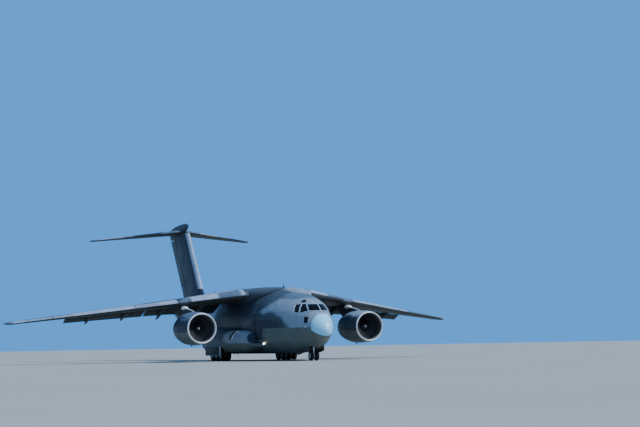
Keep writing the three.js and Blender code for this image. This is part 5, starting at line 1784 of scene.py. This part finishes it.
def seam_at(height):
    return RAMP_END - SEAM_LEAN * (height - RAMP_REAR_TOP + 0.1)


def pin_bar(pin):
    ends = [(x, pin["station"], pin["height"]) for x in (-pin["half"], pin["half"])]
    return tube(ends, pin["radius"], 28)


def floor_finish(thing, top, wall):
    """Adds the finish of the faces that look up and of the cut sides to a piece of body skin."""
    for name in (top, wall):
        thing.data.materials.append(FINISHES[name])
    for polygon in thing.data.polygons:
        outward = Vector((polygon.center.x, 0, polygon.center.z - 2.4))
        if polygon.normal.z > 0.4:
            polygon.material_index = 1
        elif polygon.normal.dot(outward.normalized()) < 0.35:
            polygon.material_index = 2


def loading_ramp(whole):
    """The solid ramp cut from the body's own shape, with its pin, treads, rails and lugs."""
    front, height = RAMP_PIN["station"], RAMP_PIN["height"]
    outline = [(front, FLOOR_TOP - 0.01), (seam_at(RAMP_REAR_TOP) - DOOR_GAP, RAMP_REAR_TOP),
               (seam_at(0) - DOOR_GAP, 0), (RAMP_HINGE + 0.3, 0), (front, height)]
    ramp = make_object("loading_ramp_skin", [(whole, "body")])
    carve(ramp, [prism(outline, -0.972, 0.972, "x")], "INTERSECT")
    floor_finish(ramp, "deck", "lining")
    dress(ramp, "loading_ramp", replaces=("loading_ramp",))
    rise = (RAMP_REAR_TOP - FLOOR_TOP + 0.01) / (seam_at(RAMP_REAR_TOP) - DOOR_GAP - front)
    def top(place):
        return FLOOR_TOP - 0.01 + rise * (place - front)
    parts = [(pin_bar(RAMP_PIN), "gear")]
    for place in stations(front + 0.16, 15.2, 0.13):
        for low, high in ((-0.9, -0.5), (-0.42, -0.04), (0.04, 0.42), (0.5, 0.9)):
            tread = [(place, top(place) - 0.004), (place + 0.03, top(place + 0.03) - 0.004),
                     (place + 0.026, top(place) + 0.009), (place + 0.004, top(place) + 0.008)]
            parts.append((prism(tread, low, high, "x"), "black"))
    for x in (-0.93, -0.46, 0.0, 0.46, 0.93):
        ends = (front + 0.1, 15.25)
        rail = [(end, top(end) - 0.004) for end in ends] + [(end, top(end) + 0.014) for end in ends[::-1]]
        parts.append((prism(rail, x - 0.014, x + 0.014, "x"), "titanium"))
    for x in (-0.78, -0.4, 0.4, 0.78):
        lug = [(front - 0.008, height - 0.02), (front + 0.09, top(front) - 0.06),
               (front + 0.13, top(front + 0.13) - 0.012), (front - 0.002, height + 0.021)]
        parts.append((prism(lug, x - 0.02, x + 0.02, "x"), "gear"))
    piece("loading_ramp_fittings", parts, "loading_ramp")


def cargo_door(whole):
    """The solid cargo door cut from the body's own shape, with its pin, ribs and spars."""
    pin = AFT_PIN["station"]
    outline = [(seam_at(RAMP_REAR_TOP) + DOOR_GAP, RAMP_REAR_TOP), (pin - 0.045, 2.15),
               (pin, AFT_PIN["height"] + 0.03), (pin, 0), (seam_at(0) + DOOR_GAP, 0)]
    door = make_object("aft_cargo_door_skin", [(whole, "body")])
    plan = prism(door_plan(RAMP_END - 0.06, AFT_DOOR_END, 0.95, 0.62, DOOR_GAP), -1, 3, "z")
    carve(door, [prism(outline, -1, 1, "x")], "INTERSECT")
    carve(door, [plan], "INTERSECT")
    floor_finish(door, "lining", "lining")
    dress(door, "aft_cargo_door", replaces=("aft_cargo_door",))
    first = seam_at(RAMP_REAR_TOP) + DOOR_GAP
    def roof(place):
        return RAMP_REAR_TOP + (2.15 - RAMP_REAR_TOP) * (place - first) / (pin - 0.045 - first)
    ribs = [(pin_bar(AFT_PIN), "gear")]
    for place in stations(first + 0.15, pin - 0.25, 0.3):
        half = 0.95 - 0.33 * (place - RAMP_END) / (AFT_DOOR_END - RAMP_END) - 0.05
        rib = [(place, roof(place) - 0.01), (place + 0.03, roof(place + 0.03) - 0.01),
               (place + 0.03, roof(place) + 0.02), (place, roof(place) + 0.02)]
        ribs.append((prism(rib, -half, half, "x"), "primer"))
    for x in (-0.45, 0.0, 0.45):
        ends = (first + 0.1, pin - 0.15)
        spar = [(end, roof(end) - 0.01) for end in ends] + [(end, roof(end) + 0.028) for end in ends[::-1]]
        ribs.append((prism(spar, x - 0.012, x + 0.012, "x"), "primer"))
    piece("aft_cargo_door_fittings", ribs, "aft_cargo_door")


def arch(place, wide, deep, low):
    """A hoop against the inside of the hull, open below a height."""
    def ring(by, at):
        points = body_ring(at, by, 144)
        first = next(i for i in range(144) if points[i][2] < low and points[i - 1][2] >= low)
        last = next(i for i in range(first, 144) if points[i][2] >= low)
        return points[last:] + points[:first]
    outer, inner = -WALL + 0.004, -WALL - deep
    corners = [ring(outer, place), ring(outer, place + wide), ring(inner, place + wide), ring(inner, place)]
    count = min(len(corner) for corner in corners)
    return loft([[corner[i] for corner in corners] for i in range(count)])


def hold():
    """The cargo floor with its roller rows and tie-down cups, the hoops of the hull and the side rails."""
    rear = RAMP_PIN["station"] - RAMP_PIN["radius"] - 0.001
    slab = block((-2, 2), (3.25, rear), (FLOOR_TOP - 0.06, FLOOR_TOP))
    plate = make_object("cargo_floor_plate", [(slab, "deck")])
    hull = loft([body_ring(place, -WALL - 0.001) for place in stations(3.0, 12.5, 0.25)])
    carve(plate, [hull], "INTERSECT")
    dress(plate, replaces=("cargo_floor",))
    parts = []
    for x in (-0.84, -0.3, 0.3, 0.84):
        for rail in (x - 0.034, x + 0.034):
            shape = block((rail - 0.004, rail + 0.004), (3.5, 12.2), (FLOOR_TOP - 0.002, FLOOR_TOP + 0.026))
            parts.append((shape, "titanium"))
        for place in stations(3.6, 12.1, 0.34):
            ends = [(end, place, FLOOR_TOP + 0.018) for end in (x - 0.031, x + 0.031)]
            parts.append((tube(ends, 0.016, 12), "chrome"))
    cup = [(0.0, -0.002), (0.036, -0.002), (0.036, 0.003), (0.03, 0.004), (0.024, 0.001), (0.0, 0.001)]
    for x in (-1.02, -0.57, 0.0, 0.57, 1.02):
        # The outer rows stay clear of the crew door's swing
        for place in stations(4.5 if abs(x) > 1 else 3.8, 12.0, 0.5):
            parts.append((turned(cup, (x, place, FLOOR_TOP), "z", 16), "black"))
    piece("cargo_floor_fittings", parts)
    places = (3.3, 3.4, 3.93, *stations(4.4, 12.3, 0.5))
    parts = [(arch(place, 0.025, 0.03, FLOOR_TOP + 0.02), "primer") for place in places]
    for _, side in SIDES:
        for height in (1.05, 1.6, 2.2):
            x = skin_half(8.0, height) - WALL - 0.03
            rail = side_block((x - 0.012, x + 0.012), (5.4, 12.25), (height - 0.02, height + 0.02), side)
            parts.append((rail, "lining"))
    piece("hold_frames", parts)


DECK_TOP = 1.5
SEATS = (-0.27, 0.27)


def cushion(middle, half, tilt=0.0, steps=14):
    """A crowned closed cushion whose sides pull in between its corners, with a channel across its middle."""
    def crown(u, v):
        full = (max(0.0, 1 - abs(u) ** 3.2) * max(0.0, 1 - abs(v) ** 3.2)) ** 0.38
        channel = 0.1 * math.exp(-(u / 0.07) ** 2) + 0.1 * math.exp(-(v / 0.07) ** 2)
        return full * (1 - channel)
    points, faces = [], []
    for face in (1, -1):
        for i in range(steps + 1):
            for j in range(steps + 1):
                u, v = (math.sin(math.pi / 2 * (2 * k / steps - 1)) for k in (i, j))
                pull_u, pull_v = 1 - 0.06 * (1 - v * v) * abs(u) ** 3, 1 - 0.06 * (1 - u * u) * abs(v) ** 3
                up = face * half[2] * crown(u, v)
                points.append(Vector((half[0] * u * pull_u, half[1] * v * pull_v, up)))
    size = steps + 1
    for face in range(2):
        for i in range(steps):
            for j in range(steps):
                a = face * size * size + i * size + j
                square = (a, a + size, a + size + 1, a + 1)
                faces.append(square if face == 0 else square[::-1])
    turn = Matrix.Translation(middle) @ Matrix.Rotation(tilt, 4, "X")
    return [tuple(turn @ point) for point in points], faces


def flight_deck():
    """Floor, bulkhead, instrument panel, controls and the two seats."""
    hull = loft([body_ring(place, -WALL - 0.001) for place in stations(0.6, 3.2, 0.1)])
    slab = block((-2, 2), (0.62, 3.15), (DECK_TOP - 0.05, DECK_TOP))
    floor = make_object("flight_deck_plates", [(slab, "black")])
    carve(floor, [hull], "INTERSECT")
    dress(floor, replaces=("flight_deck_floor",))
    outline = [(-2, DECK_TOP - 0.005), (2, DECK_TOP - 0.005), (2, 2.7), (-2, 2.7)]
    points, faces = prism(outline, 3.1, 3.15, "x")
    wall = make_object("flight_deck_bulkhead", [(([(y, x, z) for x, y, z in points], faces), "lining")])
    carve(wall, [hull], "INTERSECT")
    carve(wall, [block((-0.2, 0.2), (3.0, 3.2), (DECK_TOP, 2.45))])
    dress(wall)
    panel = [(0.9, DECK_TOP + 0.0003), (1.08, DECK_TOP + 0.0003), (1.08, 1.9), (1.01, 2.01), (0.9, 1.96)]
    board = prism(rounded(panel, 0.02), -0.42, 0.42, "x")
    piece("instrument_panel_board", [(board, "lining")], replaces=("instrument_panel",))
    flight_deck_controls()
    pilot_seats()


def flight_deck_controls():
    """Screens and buttons under a hood, the pedestal with its levers, and the two control yokes."""
    hood = rounded([(0.92, 1.985), (1.05, 2.0), (1.13, 1.9), (1.125, 1.88), (1.04, 1.94)], 0.01)
    parts = [(prism(hood, -0.415, 0.415, "x"), "black")]
    for x in (-0.3, -0.15, 0.0, 0.15, 0.3):
        parts.append((block((x - 0.062, x + 0.062), (1.076, 1.086), (1.68, 1.84)), "black"))
        parts.append((block((x - 0.053, x + 0.053), (1.08, 1.0885), (1.69, 1.83)), "screen"))
        for k in range(5):
            across = (x - 0.05 + k * 0.025, x - 0.042 + k * 0.025)
            parts.append((block(across, (1.08, 1.092), (1.65, 1.658)), "white"))
    pedestal = rounded([(1.075, 1.501), (1.4, 1.501), (1.4, 1.6), (1.075, 1.68)], 0.02)
    parts.append((prism(pedestal, -0.09, 0.09, "x"), "lining"))
    for x in (-0.02, 0.02):
        parts.append((tube([(x, 1.25, 1.63), (x, 1.23, 1.71)], [0.006, 0.009], 12), "black"))
    for k in range(6):
        across = (-0.07 + k * 0.028, -0.055 + k * 0.028)
        parts.append((block(across, (1.33, 1.345), (1.605, 1.622)), "white"))
    for x in SEATS:
        column = [(x, 1.3, 1.5), (x, 1.32, 1.62), (x, 1.26, 1.74)]
        parts.append((tube(smooth_path(column), 0.013, 14), "black"))
        yoke = [(x - 0.08, 1.27, 1.79), (x - 0.075, 1.26, 1.74), (x, 1.255, 1.735),
                (x + 0.075, 1.26, 1.74), (x + 0.08, 1.27, 1.79)]
        parts.append((tube(smooth_path(yoke), 0.011, 12), "black"))
    piece("flight_deck_controls", parts)


def pilot_seats():
    """Two seats on rails, each with a pedestal, a pan, a back, arms and three cushions."""
    frames = [(block((-0.42, 0.42), (1.42, 1.7), (DECK_TOP + 0.0003, DECK_TOP + 0.012)), "titanium")]
    pads = []
    pedestal = rounded([(1.45, 1.53), (1.65, 1.53), (1.62, 1.69), (1.48, 1.69)], 0.03)
    pan = rounded([(1.41, 1.68), (1.7, 1.68), (1.71, 1.7), (1.41, 1.7)], 0.008)
    back = rounded([(1.69, 1.69), (1.709, 1.7), (1.709, 2.14), (1.69, 2.14)], 0.008)
    for x in SEATS:
        for edge in (x - 0.08, x + 0.08):
            rail = block((edge - 0.012, edge + 0.012), (1.43, 1.69), (DECK_TOP + 0.01, DECK_TOP + 0.04))
            frames.append((rail, "titanium"))
        for outline, half in ((pedestal, 0.06), (pan, 0.115), (back, 0.11)):
            frames.append((prism(outline, x - half, x + half, "x"), "gear"))
        for edge in (x - 0.03, x + 0.03):
            frames.append((tube([(edge, 1.7, 2.12), (edge, 1.69, 2.2)], 0.007, 10), "chrome"))
        for edge in (x - 0.135, x + 0.135):
            frames.append((tube([(edge, 1.67, 1.87), (edge, 1.45, 1.88)], 0.014, 12), "black"))
        pads += [("seat", x, cushion((x, 1.535, 1.732), (0.122, 0.132, 0.036))),
                 ("back", x, cushion((x, 1.668, 1.935), (0.117, 0.2, 0.03), math.pi / 2)),
                 ("head", x, cushion((x, 1.672, 2.195), (0.058, 0.062, 0.024), math.pi / 2))]
    piece("pilot_seat_frames", frames, replaces=("pilot_seats",))
    for kind, x, shape in pads:
        pad = make_object(f"{kind}_cushion_{'left' if x > 0 else 'right'}", [(shape, "fabric")])
        pad.modifiers.new("soften", "SUBSURF").levels = 1
        dress(settle(pad))


# Blade aerials: station, height, root chord, tip chord and lean
UPPER_AERIALS = (
    (4.88, 0.19, 0.2, 0.09, 0.09), (2.08, 0.07, 0.1, 0.06, 0.03), (1.72, 0.06, 0.08, 0.05, 0.03),
    (11.9, 0.14, 0.17, 0.09, 0.07), (14.2, 0.14, 0.17, 0.09, 0.07))
LOWER_AERIALS = ((3.6, 0.09, 0.14, 0.08, 0.06), (5.6, 0.11, 0.14, 0.08, 0.06), (11.0, 0.1, 0.14, 0.08, 0.06))
BLADE_FOOT = 0.02
# Wipers in the view from ahead, as (across, height) pairs
WIPER_ARM = ((0.1, 2.06), (0.19, 2.2), (0.24, 2.29))
WIPER_EDGE = ((0.165, 2.12), (0.24, 2.36))
# Vents and static ports: station, height, radius
MARKS = {
    "vent_upper": (3.33, 2.41, 0.032), "vent_lower": (3.14, 1.44, 0.034), "vent_front": (4.0, 1.3, 0.026),
    "vent_aft": (4.2, 0.98, 0.03), "port_static": (2.5, 1.5, 0.02)}


def blade(place, height, root, tip, lean, sign):
    """A swept blade aerial on the middle line, above the body for sign 1 and below it for -1."""
    base = smooth_row(BODY, place)[2 if sign > 0 else 3]
    rings = []
    for share in (0.0, 0.35, 0.7, 0.92, 1.0):
        chord = root + (tip - root) * share
        if share == 1.0:
            chord *= 0.7
        lead, z = place + lean * share, base + sign * ((height + BLADE_FOOT) * share - BLADE_FOOT)
        turns = [2 * math.pi * i / 16 for i in range(16)]
        half = 0.09 * root * (1 - 0.6 * share)
        rings.append([(half * math.sin(turn), lead + chord * (1 - math.cos(turn)) / 2, z) for turn in turns])
    return loft(rings)


def skin_fittings():
    """Aerials, beacons, air data probes, vanes, wipers, vents and static ports of the fuselage."""
    parts = [(blade(*row, 1), "fin") for row in UPPER_AERIALS]
    parts += [(blade(*row, -1), "belly") for row in LOWER_AERIALS]
    dome = [(0.0, 0.03), (0.03, 0.027), (0.05, 0.012), (0.055, -0.01), (0.0, -0.01)]
    for place in (3.4, 12.6):
        parts.append((turned(dome, (0, place, smooth_row(BODY, place)[2]), "z", 28), "frame"))
    beacon = [(0.0, 0.06), (0.022, 0.054), (0.034, 0.03), (0.036, 0.0), (0.036, -0.02), (0.0, -0.02)]
    foot = [(0.0, 0.008), (0.05, 0.006), (0.056, -0.012), (0.0, -0.012)]
    # The lower beacon is only half as high
    for spot, sign, tall in (((0, 7.9, 3.305), 1, 1), ((0, 11.6, smooth_row(BODY, 11.6)[3]), -1, 0.5)):
        parts.append((turned([(r, sign * tall * h) for r, h in beacon], spot, "z", 24), "red_lamp"))
        parts.append((turned([(r, sign * h) for r, h in foot], spot, "z", 28), "titanium"))
    vane = [(0.0, -0.01), (0.028, -0.01), (0.028, 0.006), (0.01, 0.012), (0.009, 0.03), (0.0, 0.03)]
    for _, side in SIDES:
        for place, z in ((1.02, 1.5), (1.12, 1.36)):
            x = skin_half(place, z)
            arm = [(side * (x - 0.02), place, z), (side * (x + 0.045), place - 0.005, z),
                   (side * (x + 0.06), place - 0.03, z)]
            parts.append((tube(arm, [0.012, 0.009, 0.009], 14), "titanium"))
            head = [(side * (x + 0.06), station, z) for station in (place - 0.02, place - 0.15)]
            parts.append((tube(head, [0.009, 0.005], 14), "chrome"))
        x = skin_half(0.97, 2.03)
        arm = [(side * (x - 0.02), 0.97, 2.03), (side * (x + 0.05), 0.965, 2.035),
               (side * (x + 0.085), 0.95, 2.04)]
        parts.append((tube(arm, [0.011, 0.008, 0.007], 14), "titanium"))
        parts.append((on_side(turned(vane, (skin_half(0.98, 1.43), 0.98, 1.43), "x", 20), side), "white"))
        for line, radii in ((WIPER_ARM, [0.007, 0.005, 0.004]), (WIPER_EDGE, 0.005)):
            path = [(side * across, windscreen_station(across, up), up) for across, up in line]
            parts.append((tube(path, radii, 10), "black"))
    piece("fuselage_fittings", parts)
    for name, side in SIDES:
        for label, (place, z, radius) in MARKS.items():
            outline = round_outline(place, z, radius, radius, 16)
            skin_mark(f"{label}_{name}", (place - 0.15, place + 0.15), outline, side, "seal")


def windscreen_station(x, height):
    """The station where the outer skin passes a point of the front view."""
    low, high = 0.55, 2.2
    for _ in range(40):
        middle = (low + high) / 2
        if smooth_row(BODY, middle)[2] > height and skin_half(middle, height) > abs(x):
            high = middle
        else:
            low = middle
    return low - 0.006


# Camera and stage, from the places and angles that fit the photograph
CAMERA = {
    "place": (-27.7945, -76.7275, 0.6817),
    "forward": (0.38611, 0.92246),
    "pitch": 4.395,
    "roll": -0.991,
    "focal": 1704.37,
}
PHOTO_WIDTH = 640
SENSOR = 36.0
FLOOR_HALF = 600


def set_camera():
    pitch, roll = math.radians(CAMERA["pitch"]), math.radians(CAMERA["roll"])
    level = Vector((*CAMERA["forward"], 0)).normalized()
    right = level.cross(Vector((0, 0, 1)))
    forward = level * math.cos(pitch) + Vector((0, 0, 1)) * math.sin(pitch)
    up = right.cross(forward)
    turn = Matrix((right, up, -forward)).transposed() @ Matrix.Rotation(roll, 3, "Z")
    data = bpy.data.cameras.new("camera")
    data.sensor_width = SENSOR
    data.lens = CAMERA["focal"] * SENSOR / PHOTO_WIDTH
    data.clip_end = 2000
    camera = bpy.data.objects.new("camera", data)
    camera.matrix_world = Matrix.Translation(CAMERA["place"]) @ turn.to_4x4()
    bpy.context.scene.collection.objects.link(camera)
    bpy.context.scene.camera = camera


def sun(name, aim, strength, spread, code):
    data = bpy.data.lights.new(name, "SUN")
    data.energy = strength
    data.angle = math.radians(spread)
    data.color = linear(code)[:3]
    lamp = bpy.data.objects.new(name, data)
    lamp.rotation_mode = "QUATERNION"
    lamp.rotation_quaternion = Vector(aim).normalized().to_track_quat("Z", "Y")
    bpy.context.scene.collection.objects.link(lamp)


def make_stage(settings):
    set_camera()
    sun("key_light", (0.34, -0.62, 0.72), settings.key_strength, 9, "#f6f6fa")
    sun("fill_light", (-0.7, -0.5, 0.5), settings.fill_strength, 60, "#cfe0f5")
    world = bpy.data.worlds.new("studio")
    bpy.context.scene.world = world
    world.use_nodes = True
    tree = world.node_tree
    tree.nodes.clear()
    # The backdrop keeps its blue to the eye, and lights the scene with a paler blue
    seen = add_node(tree, "LightPath").outputs["Is Camera Ray"]
    light = tinted(tree, seen, 1.0, linear(settings.ambient), settings.backdrop)
    background = add_node(tree, "Background", {"Color": light, "Strength": settings.backdrop_strength})
    add_node(tree, "OutputWorld", {"Surface": background})
    material, tree = new_material("studio_floor")
    marks = add_node(tree, "TexNoise", {"Vector": object_parts(tree)[0], "Scale": 0.2, "Detail": 2.0})
    surface(tree, {"Base Color": tinted(tree, marks, 1.0, linear("#a0a39f"), "#a9aca8"), "Roughness": 0.9})
    mesh = bpy.data.meshes.new("floor")
    corners = [(x * FLOOR_HALF, y * FLOOR_HALF, 0) for x, y in ((-1, -1), (1, -1), (1, 1), (-1, 1))]
    mesh.from_pydata(corners, [], [(0, 1, 2, 3)])
    mesh.materials.append(material)
    floor = bpy.data.objects.new("floor", mesh)
    bpy.context.scene.collection.objects.link(floor)


def colour(name, text, default):
    return bpy.props.StringProperty(name=name, description=text, default=default)


def number(name, text, default, unit="NONE"):
    return bpy.props.FloatProperty(name=name, description=text, default=default, unit=unit)


class AeroplaneFinishSettings(bpy.types.PropertyGroup):
    # A pale edge paint, lightened further as a painted highlight of the lit leading edges
    edge_blue: colour("Edge Blue", "Palest colour of the leading edges, as sRGB hex", "#9bacc2")
    light_blue: colour("Light Blue", "Palest camouflage colour, as sRGB hex", "#8595a8")
    middle_blue: colour("Middle Blue", "Middle camouflage colour, as sRGB hex", "#54687f")
    slate_blue: colour("Slate Blue", "Camouflage colour between middle and dark, as sRGB hex", "#36434f")
    dark_blue: colour("Dark Blue", "Darkest camouflage colour, as sRGB hex", "#1f2639")
    belly_grey: colour("Belly Grey", "Fuselage colour below the break line, as sRGB hex", "#586260")
    # A near-black grey, darker than the real paint: painted shade on the undersides
    painted_shade_grey: colour("Underside Grey", "Colour under wing and tail, as sRGB hex", "#1f221c")
    radome_blue: colour("Radome Blue", "Upper colour of the radome, as sRGB hex", "#96deff")
    break_height: number("Break Height", "Height where the belly colour ends", 1.42, "LENGTH")
    nacelle_break: number("Nacelle Break", "Height where the lower colour of the cowls ends", 1.3, "LENGTH")


class AeroplaneStageSettings(bpy.types.PropertyGroup):
    key_strength: number("Key Strength", "Strength of the key light", 4.0)
    fill_strength: number("Fill Strength", "Strength of the fill light", 0.05)
    backdrop: colour("Backdrop", "Plain colour behind the aeroplane, as sRGB hex", "#52a8ff")
    ambient: colour("Ambient", "Colour of the light from all round, as sRGB hex", "#78abe0")
    backdrop_strength: number("Backdrop Strength", "Strength of the light from all round", 1.0)


class AEROPLANE_OT_stage(bpy.types.Operator):
    """Sets the camera, the lights, the backdrop and the floor"""

    bl_idname = "aeroplane.stage"
    bl_label = "Stage"

    def execute(self, context):
        make_stage(context.scene.aeroplane_stage)
        return {"FINISHED"}


class AEROPLANE_OT_finishes(bpy.types.Operator):
    """Makes the paints, metals, glass and rubber"""

    bl_idname = "aeroplane.finishes"
    bl_label = "Finishes"

    def execute(self, context):
        make_finishes(context.scene.aeroplane_finish)
        return {"FINISHED"}


class AEROPLANE_OT_fuselage(bpy.types.Operator):
    """Builds the radome, the fuselage skins, the windows and the doors"""

    bl_idname = "aeroplane.fuselage"
    bl_label = "Fuselage"

    def execute(self, context):
        fuselage()
        return {"FINISHED"}


class AEROPLANE_OT_wings(bpy.types.Operator):
    """Builds the centre wing, the wings and their moving surfaces"""

    bl_idname = "aeroplane.wings"
    bl_label = "Wings"

    def execute(self, context):
        centre_wing()
        for name, side in SIDES:
            wing(name, side)
        return {"FINISHED"}


class AEROPLANE_OT_tail(bpy.types.Operator):
    """Builds the fin, the rudder, the tailplane and the elevators"""

    bl_idname = "aeroplane.tail"
    bl_label = "Tail"

    def execute(self, context):
        fin_and_rudder()
        tailplane()
        return {"FINISHED"}


class AEROPLANE_OT_engines(bpy.types.Operator):
    """Builds the cowls, fans, cores and pylons"""

    bl_idname = "aeroplane.engines"
    bl_label = "Engines"

    def execute(self, context):
        for name, side in SIDES:
            engine(name, side)
        return {"FINISHED"}


class AEROPLANE_OT_lights(bpy.types.Operator):
    """Adds the navigation lights and the static dischargers"""

    bl_idname = "aeroplane.lights"
    bl_label = "Lights"

    def execute(self, context):
        tip_fittings()
        return {"FINISHED"}


class AEROPLANE_OT_gear(bpy.types.Operator):
    """Builds the sponsons and the landing gear"""

    bl_idname = "aeroplane.gear"
    bl_label = "Landing Gear"

    def execute(self, context):
        for name, side in SIDES:
            sponson(name, side)
        landing_gear()
        return {"FINISHED"}


OPERATORS = (
    AEROPLANE_OT_stage,
    AEROPLANE_OT_finishes,
    AEROPLANE_OT_fuselage,
    AEROPLANE_OT_wings,
    AEROPLANE_OT_tail,
    AEROPLANE_OT_engines,
    AEROPLANE_OT_lights,
    AEROPLANE_OT_gear,
)


class AEROPLANE_PT_panel(bpy.types.Panel):
    """Lists the steps that dress the aeroplane"""

    bl_label = "Aeroplane"
    bl_idname = "AEROPLANE_PT_panel"
    bl_space_type = "VIEW_3D"
    bl_region_type = "UI"
    bl_category = "Aeroplane"

    def draw(self, context):
        for group in (context.scene.aeroplane_finish, context.scene.aeroplane_stage):
            for name in group.__annotations__:
                self.layout.prop(group, name)
        for operator in OPERATORS:
            self.layout.operator(operator.bl_idname)


CLASSES = (AeroplaneFinishSettings, AeroplaneStageSettings, *OPERATORS, AEROPLANE_PT_panel)


def register():
    for item in CLASSES:
        bpy.utils.register_class(item)
    bpy.types.Scene.aeroplane_finish = bpy.props.PointerProperty(type=AeroplaneFinishSettings)
    bpy.types.Scene.aeroplane_stage = bpy.props.PointerProperty(type=AeroplaneStageSettings)


def unregister():
    del bpy.types.Scene.aeroplane_stage
    del bpy.types.Scene.aeroplane_finish
    for item in reversed(CLASSES):
        bpy.utils.unregister_class(item)


def main():
    register()
    bpy.ops.aeroplane.stage()
    bpy.ops.aeroplane.finishes()
    bpy.ops.aeroplane.fuselage()
    bpy.ops.aeroplane.wings()
    bpy.ops.aeroplane.tail()
    bpy.ops.aeroplane.engines()
    bpy.ops.aeroplane.lights()
    bpy.ops.aeroplane.gear()


if __name__ == "__main__":
    main()
